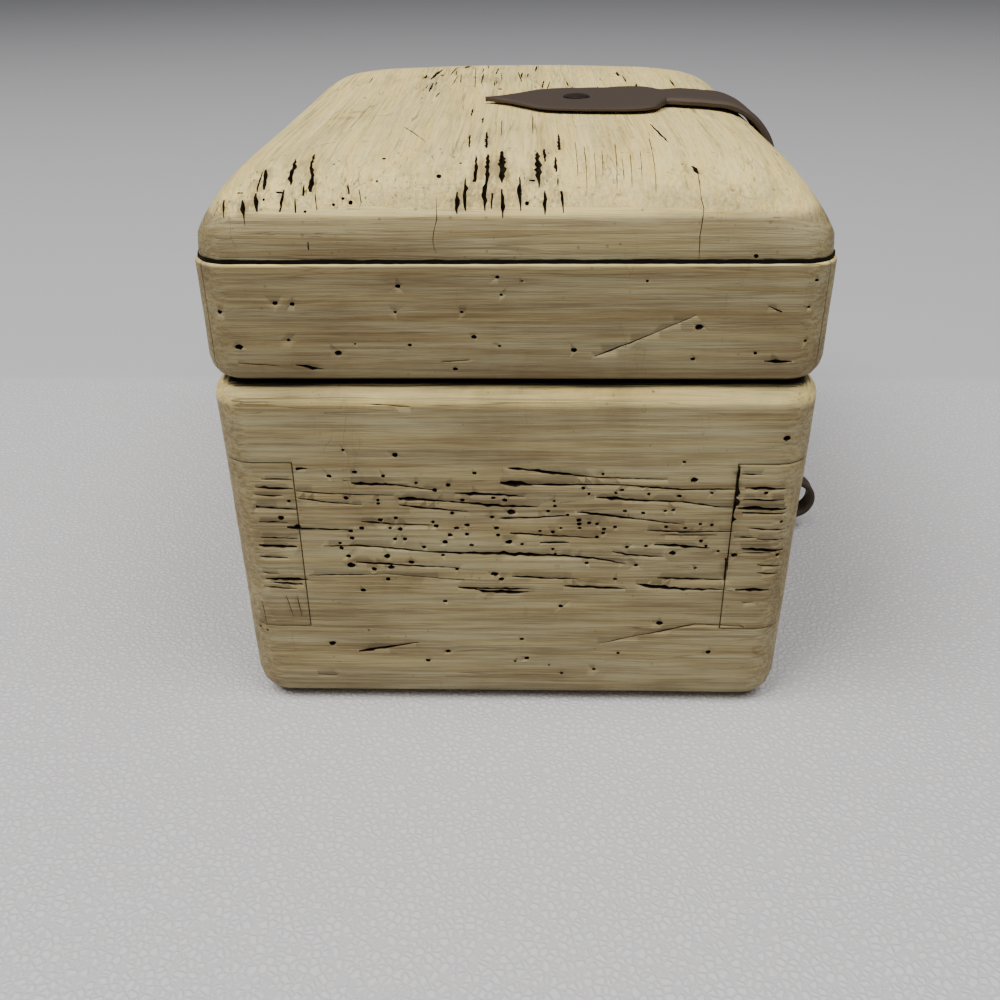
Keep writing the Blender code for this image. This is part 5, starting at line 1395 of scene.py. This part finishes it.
# Height of the domed top, as shares of its rise, at distances inwards from its ends and from its sides
INWARD_MM = (0.0, 0.3, 0.8, 1.5, 2.5, 4.0, 6.0, 9.0, 13.0, 19.0, 28.0, 40.0)
END_SHARES = (0.0, 0.2, 0.335, 0.43, 0.52, 0.61, 0.695, 0.785, 0.865, 0.935, 0.98, 1.0)
SIDE_SHARES = (0.0, 0.24, 0.385, 0.485, 0.575, 0.67, 0.765, 0.86, 0.93, 0.975, 1.0, 1.0)
RING_MM = (0.0, 0.15, 0.4, 0.75, 1.2, 1.8, 2.6, 3.6, 5.0, 6.8, 9.0, 11.6, 14.8, 18.6, 23.0, 28.0, 33.6, 40.0, 47.0, 55.0, 63.0, 70.0)


def dome_height(x, y):
    """Height of the lid's domed face over a point of the plan."""
    from_end = (SLAB_HALF_LENGTH - abs(x)) / MM
    from_side = (SLAB_HALF_DEPTH - abs(y)) / MM
    share = eased(INWARD_MM, END_SHARES, from_end) * eased(INWARD_MM, SIDE_SHARES, from_side)
    return SLAB_LOW + DOME_RISE * share


def dome_wear(x, y):
    """What the slab has more towards its right end, and less at its left front shoulder."""
    dome = sizes("dome")
    along = min(1.0, max(0.0, x / SLAB_HALF_LENGTH / 0.75))
    across = max(0.0, 1.0 - (y / SLAB_HALF_DEPTH) ** 2)
    more = dome.crown * along**2 * (3 - 2 * along) * across
    reach = math.hypot(x + SLAB_HALF_LENGTH, y + SLAB_HALF_DEPTH) / dome.worn_reach
    return more - dome.worn_corner * math.exp(-reach * reach)


def rounded_plan(shape, half_length, half_depth, low, high, radius, segments):
    """A box with round upright corners."""
    made = bmesh.ops.create_cube(shape, size=2.0)["verts"]
    for vert in made:
        vert.co = (
            vert.co.x * half_length,
            vert.co.y * half_depth,
            high if vert.co.z > 0 else low,
        )
    upright = [e for e in shape.edges if abs(e.verts[0].co.z - e.verts[1].co.z) > MM / 20]
    bmesh.ops.bevel(shape, geom=upright, offset=radius, segments=segments, profile=0.5, affect="EDGES", material=-1)


def split_evenly(shape, length):
    """Cut the long straight runs of a plan so that its points lie about as far apart as length."""
    highest = [max(abs(v.co[axis]) for v in shape.verts) for axis in (0, 1)]
    for axis, half in enumerate(highest):
        normal = Vector()
        normal[axis] = 1.0
        steps = round(2 * half / length)
        for i in range(1, steps):
            place = Vector()
            place[axis] = -half + 2 * half * i / steps
            geometry = shape.verts[:] + shape.edges[:] + shape.faces[:]
            bmesh.ops.bisect_plane(shape, geom=geometry, dist=0.05 * MM, plane_co=place, plane_no=normal)


class CIGARBOX_OT_lid_slab(bpy.types.Operator):
    """The thick domed top with its gouges across the grain"""

    bl_idname = "cigarbox.lid_slab"
    bl_label = "Domed top"

    def execute(self, context):
        dome = sizes("dome")
        case = sizes("case")
        chance = random.Random(sizes("marks").seed + 2)
        shape = bmesh.new()
        lip = SLAB_LOW + case.eased_edge
        rounded_plan(shape, SLAB_HALF_LENGTH, SLAB_HALF_DEPTH, SLAB_LOW, lip, dome.corner_radius, dome.corner_steps)
        split_evenly(shape, dome.cell)
        top = [f for f in shape.faces if f.normal.z > 0.9]
        bmesh.ops.dissolve_faces(shape, faces=top)
        top = next(f for f in shape.faces if f.normal.z > 0.9)
        ring_size = 1.0
        for inward in RING_MM[1:]:
            grown = bmesh.ops.extrude_face_region(shape, geom=[top])["geom"]
            bmesh.ops.delete(shape, geom=[top], context="FACES_ONLY")
            top = next(g for g in grown if isinstance(g, bmesh.types.BMFace))
            next_size = 1.0 - inward * MM / SLAB_HALF_DEPTH
            bmesh.ops.scale(shape, verts=top.verts[:], vec=(next_size / ring_size, next_size / ring_size, 1.0))
            ring_size = next_size
            wall = DOME_RISE * eased(INWARD_MM, SIDE_SHARES, inward)
            for vert in top.verts:
                rise = min(wall, dome_height(vert.co.x, vert.co.y) - SLAB_LOW)
                vert.co.z = max(lip, SLAB_LOW + rise + dome_wear(vert.co.x, vert.co.y) * rise / DOME_RISE)
        bmesh.ops.poke(shape, faces=[top])
        low = (-SLAB_HALF_LENGTH, -SLAB_HALF_DEPTH, 0.0)
        high = (SLAB_HALF_LENGTH, SLAB_HALF_DEPTH, SLAB_HIGH + dome.crown)
        for vert in shape.verts:
            vert.co = worn_in(vert.co, low, high)
        outwards(shape)
        bmesh.ops.triangulate(shape, faces=shape.faces[:])
        slab = put_in_scene("worn_lid_slab", shape, painted_finish("lid_slab"))
        surface = surface_of([slab])
        tracks, spots = seen_marks(surface, DOME_GOUGES_PX, DOME_HOLES_PX)
        face = ((SLAB_HALF_LENGTH * 0.5, 0, SLAB_HIGH), (SLAB_HALF_LENGTH * 0.42, 0, 0), (0, SLAB_HALF_DEPTH * 0.8, 0), (0, 0, 1))
        more_tracks, more_spots = scattered_marks(surface, face, 36, 26, chance)
        tracks += more_tracks
        spots += more_spots
        stain([slab], surface, tracks, spots, DOME_SMUDGES_PX)
        cut_marks(slab, mark_forms(surface, tracks, spots, chance))
        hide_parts("lid_slab")
        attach(slab, "lid")
        return {"FINISHED"}


class CIGARBOX_OT_glue_line(bpy.types.Operator):
    """The dark, slightly chipped line of glue under the domed top"""

    bl_idname = "cigarbox.glue_line"
    bl_label = "Glue line"

    def execute(self, context):
        case = sizes("case")
        dome = sizes("dome")
        low = LID_SEAM + 0.02 * MM
        shape = bmesh.new()
        rounded_plan(shape, SLAB_HALF_LENGTH, SLAB_HALF_DEPTH, low, low + case.glue_height, dome.corner_radius, 10)
        caps = [f for f in shape.faces if abs(f.normal.z) > 0.9]
        bmesh.ops.inset_region(shape, faces=caps, thickness=case.glue_width, use_even_offset=True)
        inner = [f for f in shape.faces if abs(f.normal.z) > 0.9 and len(f.verts) > 4]
        rims = [e for f in inner for e in f.edges]
        bmesh.ops.delete(shape, geom=inner, context="FACES_ONLY")
        bmesh.ops.bridge_loops(shape, edges=rims)
        split_evenly(shape, 1.1 * MM)
        corner = (SLAB_HALF_LENGTH - dome.corner_radius, SLAB_HALF_DEPTH - dome.corner_radius)
        for vert in shape.verts:
            beyond = Vector((max(0.0, abs(vert.co.x) - corner[0]), max(0.0, abs(vert.co.y) - corner[1])))
            if beyond.length > dome.corner_radius - case.glue_width * 0.6:
                out = Vector((math.copysign(beyond.x, vert.co.x), math.copysign(beyond.y, vert.co.y), 0.0)).normalized()
                ragged = noise.noise(vert.co * 420.0) + 0.6 * noise.noise(vert.co * 1100.0)
                vert.co += out * (0.12 + 0.2 * ragged) * MM
                if vert.co.z > low + case.glue_height / 2:
                    vert.co.z += 0.2 * MM * noise.noise(vert.co * 300.0)
        outwards(shape)
        bead = put_in_scene("glue_line", shape, [glue_finish()])
        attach(bead, "lid")
        return {"FINISHED"}


# Hasp


def ribbon(path, widths, thicknesses, columns=14):
    """A forged bar along a path of (y, z) points on its inner face, with soft edges and hammer marks."""
    hasp = sizes("hasp")
    count = len(path)
    shape = bmesh.new()
    made = bmesh.ops.create_cube(shape, size=2.0)["verts"]
    for vert in made:
        vert.co = (vert.co.x, (vert.co.y + 1) / 2 * (count - 1), (vert.co.z + 1) / 2)
    cuts = [(1, float(station)) for station in range(1, count - 1)]
    shares = [-1 + 2 * (i + 1) / (columns + 1) for i in range(columns)]
    cuts += [(0, share) for share in [-0.965, *shares, 0.965]]
    for axis, at in cuts:
        place = Vector()
        place[axis] = at
        normal = Vector()
        normal[axis] = 1.0
        bmesh.ops.bisect_plane(
            shape, geom=shape.verts[:] + shape.edges[:] + shape.faces[:], dist=1e-5, plane_co=place, plane_no=normal
        )
    normals = []
    for i in range(count):
        before, after = path[max(0, i - 1)], path[min(count - 1, i + 1)]
        run = Vector((after[0] - before[0], after[1] - before[1])).normalized()
        normals.append((run.y, -run.x))
    for vert in shape.verts:
        i = round(vert.co.y)
        across = vert.co.x
        rim = max(0.0, (abs(across) - 0.93) / 0.07)
        outer = vert.co.z > 0.5
        lift = thicknesses[i] * ((1.0 - 0.42 * rim) if outer else 0.18 * rim)
        spot = Vector((across * widths[i] / 2, path[i][0], path[i][1])) / hasp.hammer_size
        dent = 0.5 + 0.5 * noise.noise(spot) + 0.3 * noise.noise(spot * 2.7)
        if outer:
            lift -= hasp.hammer_depth * dent
        ragged = 1.0 + 0.012 * noise.noise(Vector((0.4 * i, 5.0 * (across > 0), 1.7)))
        x = across * widths[i] / 2 * ragged
        vert.co = (x, path[i][0] + normals[i][0] * lift, path[i][1] + normals[i][1] * lift)
    bmesh.ops.recalc_face_normals(shape, faces=shape.faces[:])
    return shape


LEAF_LENGTH_SHARES = (0.0, 0.06, 0.14, 0.22, 0.31, 0.42, 0.56, 0.70, 0.80, 0.88, 0.94, 0.98, 1.0)
LEAF_WIDTH_SHARES = (0.0, 0.11, 0.28, 0.54, 0.80, 0.92, 0.97, 1.0, 1.0, 0.94, 0.78, 0.54, 0.43)
LEAF_TIP_WIDTH = 1.2 * MM
LEAF_THIN_SHARE = 0.7


def leaf_width(distance):
    """Width of the lid plate at a distance from its tip."""
    hasp = sizes("hasp")
    share = distance / hasp.leaf_length
    if share < 1.0:
        return max(LEAF_TIP_WIDTH, 2 * LEAF_HALF_WIDTH * eased(LEAF_LENGTH_SHARES, LEAF_WIDTH_SHARES, share))
    neck = 2 * LEAF_HALF_WIDTH * LEAF_WIDTH_SHARES[-1]
    return eased((hasp.leaf_length, hasp.leaf_length + hasp.neck_blend), (neck, STRAP_WIDTH), distance)


class CIGARBOX_OT_hasp_plate(bpy.types.Operator):
    """The forged leaf on the lid, its strap and its rolled knuckles"""

    bl_idname = "cigarbox.hasp_plate"
    bl_label = "Hasp plate"

    def execute(self, context):
        hasp = sizes("hasp")
        face_y = -HALF_DEPTH - hasp.stand_off
        bend_y = face_y + hasp.bend_radius
        steps = 64
        path = []
        for i in range(steps + 1):
            y = LEAF_BACK + (bend_y - LEAF_BACK) * i / steps
            path.append((y, dome_height(0.0, y) + 2 * hasp.joint_gap))
        bend_z = path[-1][1] - hasp.bend_radius
        path += arc((bend_y, bend_z), hasp.bend_radius, math.pi / 2, math.pi, 22)
        path += line_points(path[-1], (face_y, HASP_PIN.z), 10)
        thin_start = lengths_along(path)[-1] - 5 * MM
        roll_start = lengths_along(path)[-1]
        back = face_y - HASP_PIN.y
        path += arc((HASP_PIN.y, HASP_PIN.z), back, 0.0, -math.radians(285), 22, hasp.barrel_radius)
        lengths = lengths_along(path)
        widths = [leaf_width(s) for s in lengths]
        places = (hasp.leaf_length * LEAF_THIN_SHARE, hasp.leaf_length + hasp.neck_blend, thin_start, roll_start)
        values = (hasp.leaf_thickness, hasp.strap_thickness, hasp.strap_thickness, hasp.roll_thickness)
        shape = ribbon(path, widths, [interpolate(places, values, s) for s in lengths])
        plate = put_in_scene("forged_hasp_plate", shape, [forged_iron(), forged_iron()])
        half = hasp.middle_knuckle / 2 + hasp.joint_gap
        notch = bmesh.new()
        reach = hasp.barrel_radius + hasp.shoulder_gap
        rounded_plan(notch, half, 3 * reach, HASP_PIN.z - 2 * reach, HASP_PIN.z + reach, 0.4 * MM, 2)
        bmesh.ops.translate(notch, verts=notch.verts[:], vec=(0, HASP_PIN.y, 0))
        carved(plate, [put_in_scene("knuckle_notch", notch, [])])
        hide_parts("hasp_plate")
        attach(plate, "lid")
        return {"FINISHED"}


class CIGARBOX_OT_hasp_drop(bpy.types.Operator):
    """The slotted drop of the hasp with its scrolled tail"""

    bl_idname = "cigarbox.hasp_drop"
    bl_label = "Hasp drop"

    def execute(self, context):
        hasp = sizes("hasp")
        face_y = -HALF_DEPTH - hasp.drop_stand_off
        pin = (HASP_PIN.y, HASP_PIN.z)
        back = face_y - HASP_PIN.y
        start_angle = math.radians(285)
        start = (pin[0] + hasp.barrel_radius * math.cos(start_angle), pin[1] + hasp.barrel_radius * math.sin(start_angle))
        path = [start]
        path += arc(pin, hasp.barrel_radius, start_angle, math.radians(80), 16)
        path += arc(pin, hasp.barrel_radius, math.radians(80), 0.0, 7, back)
        shoulder = HASP_PIN.z - hasp.barrel_radius - hasp.shoulder_gap
        flare_z = STAPLE_HEIGHT - hasp.flare_below_staple
        path += line_points(path[-1], (face_y, shoulder + 0.05 * MM), 4)
        knuckle_end = len(path)
        path += line_points(path[-1], (face_y, flare_z), 16)
        centre = (face_y - hasp.flare_radius, flare_z)
        path += arc(centre, hasp.flare_radius, 0.0, -hasp.flare_angle, 10)
        radius = hasp.scroll_radius + hasp.strap_thickness / 2
        outward = Vector((-math.cos(hasp.flare_angle), math.sin(hasp.flare_angle)))
        slope = Vector((-math.sin(hasp.flare_angle), -math.cos(hasp.flare_angle)))
        top = Vector(path[-1])
        fall = top.y + outward.y * radius - hasp.tail_clearance - radius
        end = top + slope * (fall / math.cos(hasp.flare_angle))
        path += line_points(top, end, 18)
        middle = end + outward * radius
        path += arc(middle, radius, -hasp.flare_angle, -hasp.flare_angle - hasp.scroll_turn, 44)
        lengths = lengths_along(path)
        knuckle_length = lengths[knuckle_end - 1]
        slot_low = STAPLE_HEIGHT - hasp.slot_below_staple
        taper_start = knuckle_length + shoulder - slot_low
        taper_end = lengths[-1] - hasp.scroll_radius * hasp.scroll_turn
        widths = []
        for i, s in enumerate(lengths):
            full = eased((taper_start, taper_end), (STRAP_WIDTH, hasp.tail_width), s)
            widths.append(hasp.middle_knuckle if i < knuckle_end else full)
        places = (knuckle_length - 3 * MM, knuckle_length + 2 * MM, taper_end, lengths[-1])
        values = (hasp.roll_thickness, hasp.strap_thickness, hasp.strap_thickness, hasp.tail_thickness)
        shape = ribbon(path, widths, [interpolate(places, values, s) for s in lengths])
        drop = put_in_scene("forged_hasp_drop", shape, [forged_iron(), forged_iron()])
        slot = bmesh.new()
        slot_high = STAPLE_HEIGHT + hasp.slot_above_staple
        rounded_plan(slot, hasp.slot_width / 2, (slot_high - slot_low) / 2, -hasp.flare_radius, hasp.flare_radius, hasp.slot_width / 2 - 0.05 * MM, 6)
        turn = Matrix.Rotation(math.pi / 2, 4, "X")
        shift = Matrix.Translation((0, face_y, (slot_high + slot_low) / 2))
        bmesh.ops.transform(slot, matrix=shift @ turn, verts=slot.verts[:])
        carved(drop, [put_in_scene("hasp_slot", slot, [])])
        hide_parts("hasp_drop")
        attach(drop, "hasp")
        return {"FINISHED"}


class CIGARBOX_OT_hasp_staple(bpy.types.Operator):
    """The bent wire staple that the drop closes over"""

    bl_idname = "cigarbox.hasp_staple"
    bl_label = "Staple"

    def execute(self, context):
        hasp = sizes("hasp")
        inside = -HALF_DEPTH + hasp.staple_depth
        outside = -HALF_DEPTH - hasp.staple_reach
        span = hasp.staple_half_span
        path = [(inside, STAPLE_HEIGHT + span)]
        path += line_points(path[0], (outside, STAPLE_HEIGHT + span), 8)
        path += arc((outside, STAPLE_HEIGHT), span, math.pi / 2, 3 * math.pi / 2, 20)
        path += line_points(path[-1], (inside, STAPLE_HEIGHT - span), 8)
        sections = []
        for i, (y, z) in enumerate(path):
            before, after = path[max(0, i - 1)], path[min(len(path) - 1, i + 1)]
            run = Vector((0, after[0] - before[0], after[1] - before[1])).normalized()
            side = run.cross(Vector((1, 0, 0)))
            place = Vector((0, y, z))
            ring = []
            for k in range(14):
                angle = math.tau * k / 14
                out = Vector((1, 0, 0)) * math.cos(angle) + side * math.sin(angle)
                dent = 0.05 * noise.noise((place + out * hasp.staple_radius) * 500)
                ring.append(place + out * hasp.staple_radius * (0.96 + dent))
            sections.append(ring)
        shape = bmesh.new()
        sweep(shape, sections)
        outwards(shape)
        staple = put_in_scene("forged_staple", shape, [forged_iron()])
        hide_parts("hasp_staple")
        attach(staple, "box")
        return {"FINISHED"}


def forged_nail(node, axis, head_height, finish):
    """A nail with a low hammered head, in the place of a packed nail."""
    low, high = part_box(node)
    axis = Vector(axis)
    middle = (low + high) / 2
    length = abs((high - low).dot(axis))
    radius = max(abs((high - low).cross(axis)[i]) for i in range(3)) / 2
    head = middle - axis * (length / 2)
    shank = 0.24 * radius if radius > 3 * MM else 0.38 * radius
    profile = (
        (0.0, 0.0),
        (radius * 0.45, head_height * 0.07),
        (radius * 0.75, head_height * 0.26),
        (radius * 0.93, head_height * 0.6),
        (radius * 0.985, head_height * 0.85),
        (radius * 0.95, head_height),
        (shank, head_height),
        (shank, length - 2.5 * shank),
        (0.0, length),
    )
    shape = bmesh.new()
    turned(shape, profile, head, axis, 22)
    for vert in shape.verts:
        along = (vert.co - head).dot(axis)
        if along < head_height * 0.7:
            vert.co += axis * (0.1 * MM * (0.5 + 0.5 * noise.noise(vert.co * 700)))
    nail = put_in_scene("forged_" + node, shape, [finish])
    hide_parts(node)
    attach(nail, "lid")


class CIGARBOX_OT_plate_nails(bpy.types.Operator):
    """Nails of the hasp plate"""

    bl_idname = "cigarbox.plate_nails"
    bl_label = "Plate nails"

    def execute(self, context):
        iron = forged_iron("nail_iron", 0.3)
        forged_nail("leaf_nail", (0, 0, -1), 0.8 * MM, iron)
        forged_nail("strap_nail_1", (0, 1, 0), 0.7 * MM, iron)
        forged_nail("strap_nail_2", (0, 1, 0), 0.7 * MM, iron)
        return {"FINISHED"}


def dress(nodes, finish):
    """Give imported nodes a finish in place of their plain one."""
    for node in nodes:
        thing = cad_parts[node]
        for place in thing.material_slots:
            place.material = finish


class CIGARBOX_OT_lining(bpy.types.Operator):
    """Cedar lining and the bare bottom board"""

    bl_idname = "cigarbox.lining"
    bl_label = "Lining"

    def execute(self, context):
        colours = sizes("colours")
        along_x = sawn_wood("cedar_along_x", colours.cedar_light, colours.cedar_dark, "X")
        along_y = sawn_wood("cedar_along_y", colours.cedar_light, colours.cedar_dark, "Y")
        raw = sawn_wood("raw_bottom_wood", colours.raw_light, colours.raw_dark, "X", 0.68)
        for node in CEDAR_NODES:
            dress([node], along_y if node.endswith(("_left", "_right")) else along_x)
        dress(["bottom_board"], raw)
        return {"FINISHED"}


class CIGARBOX_OT_hinges(bpy.types.Operator):
    """Brass butt hinges, steel screws and pins"""

    bl_idname = "cigarbox.hinges"
    bl_label = "Hinges"

    def execute(self, context):
        colours = sizes("colours")
        brass = worn_metal("aged_brass_leaf", colours.brass, colours.tarnish, 140.0, 0.28)
        steel = worn_metal("dull_steel_pin", colours.steel, colours.scale_black, 200.0, 0.34)
        nodes = sorted(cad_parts)
        dress([n for n in nodes if n.endswith("_leaf") and "hinge" in n], brass)
        dress([n for n in nodes if n.endswith("hinge_pin") or "_screw_" in n or n == "hasp_pin"], steel)
        return {"FINISHED"}


class CIGARBOX_OT_stage(bpy.types.Operator):
    """Camera, pale floor and soft light"""

    bl_idname = "cigarbox.stage"
    bl_label = "Stage"

    def execute(self, context):
        stage = sizes("stage")
        place, forward, right, top = camera_axes()
        camera = bpy.data.cameras.new("camera")
        camera.sensor_width = SENSOR_WIDTH
        camera.lens = stage.focal_px / IMAGE_SIZE * SENSOR_WIDTH
        camera.clip_start = 0.01
        seat = bpy.data.objects.new("camera", camera)
        seat.matrix_world = Matrix(
            (
                (right.x, top.x, -forward.x, place.x),
                (right.y, top.y, -forward.y, place.y),
                (right.z, top.z, -forward.z, place.z),
                (0, 0, 0, 1),
            )
        )
        context.scene.collection.objects.link(seat)
        context.scene.camera = seat
        shape = bmesh.new()
        bmesh.ops.create_grid(shape, x_segments=8, y_segments=8, size=stage.floor_half)
        floor = put_in_scene("floor", shape, [floor_finish()])
        self.add_light("left_light", (-0.6, 0.95, 2.05), (0.0, 0.0, 0.06), 1.3, stage.key_power, (1.0, 0.985, 0.96))
        self.add_light("right_light", (-0.55, -0.85, 2.15), (0.0, 0.0, 0.05), 1.3, stage.fill_power, (1.0, 0.99, 0.98))
        world = bpy.data.worlds.new("room")
        world.use_nodes = True
        back = world.node_tree.nodes["Background"]
        back.inputs["Color"].default_value = (0.95, 0.96, 1.0, 1.0)
        back.inputs["Strength"].default_value = stage.sky
        context.scene.world = world
        return {"FINISHED"}

    def add_light(self, name, place, target, size, power, colour):
        """A square area light that faces a target."""
        lamp = bpy.data.lights.new(name, "AREA")
        lamp.shape = "SQUARE"
        lamp.size = size
        lamp.energy = power
        lamp.color = colour
        holder = bpy.data.objects.new(name, lamp)
        holder.location = place
        holder.rotation_euler = (Vector(target) - Vector(place)).to_track_quat("-Z", "Y").to_euler()
        bpy.context.scene.collection.objects.link(holder)


class CIGARBOX_PT_panel(bpy.types.Panel):
    """Sizes, colours and the steps that dress the box"""

    bl_idname = "CIGARBOX_PT_panel"
    bl_label = "Cigar Box"
    bl_space_type = "VIEW_3D"
    bl_region_type = "UI"
    bl_category = "Cigar Box"

    def draw(self, context):
        for step in STEPS:
            self.layout.operator(step.bl_idname, text=step.bl_label)
        for name, group in GROUPS.items():
            part = self.layout.box()
            part.label(text=name.capitalize())
            values = getattr(context.scene, "cigar_box_" + name)
            for key in group.__annotations__:
                part.prop(values, key)


GROUPS = {
    "case": CaseSizes,
    "paint": PaintSizes,
    "dome": DomeSizes,
    "marks": MarkSizes,
    "hasp": HaspSizes,
    "colours": FinishColours,
    "stage": StageSizes,
}

STEPS = (
    CIGARBOX_OT_stage,
    CIGARBOX_OT_body_boards,
    CIGARBOX_OT_lid_rails,
    CIGARBOX_OT_lid_slab,
    CIGARBOX_OT_glue_line,
    CIGARBOX_OT_hasp_plate,
    CIGARBOX_OT_hasp_drop,
    CIGARBOX_OT_hasp_staple,
    CIGARBOX_OT_plate_nails,
    CIGARBOX_OT_lining,
    CIGARBOX_OT_hinges,
)


def register():
    for kind in (*GROUPS.values(), *STEPS, CIGARBOX_PT_panel):
        bpy.utils.register_class(kind)
    for name, group in GROUPS.items():
        setattr(bpy.types.Scene, "cigar_box_" + name, PointerProperty(type=group))


def unregister():
    for name in GROUPS:
        delattr(bpy.types.Scene, "cigar_box_" + name)
    for kind in reversed((*GROUPS.values(), *STEPS, CIGARBOX_PT_panel)):
        bpy.utils.unregister_class(kind)


def main():
    register()
    for step in STEPS:
        family, name = step.bl_idname.split(".")
        getattr(getattr(bpy.ops, family), name)()


if __name__ == "__main__":
    main()
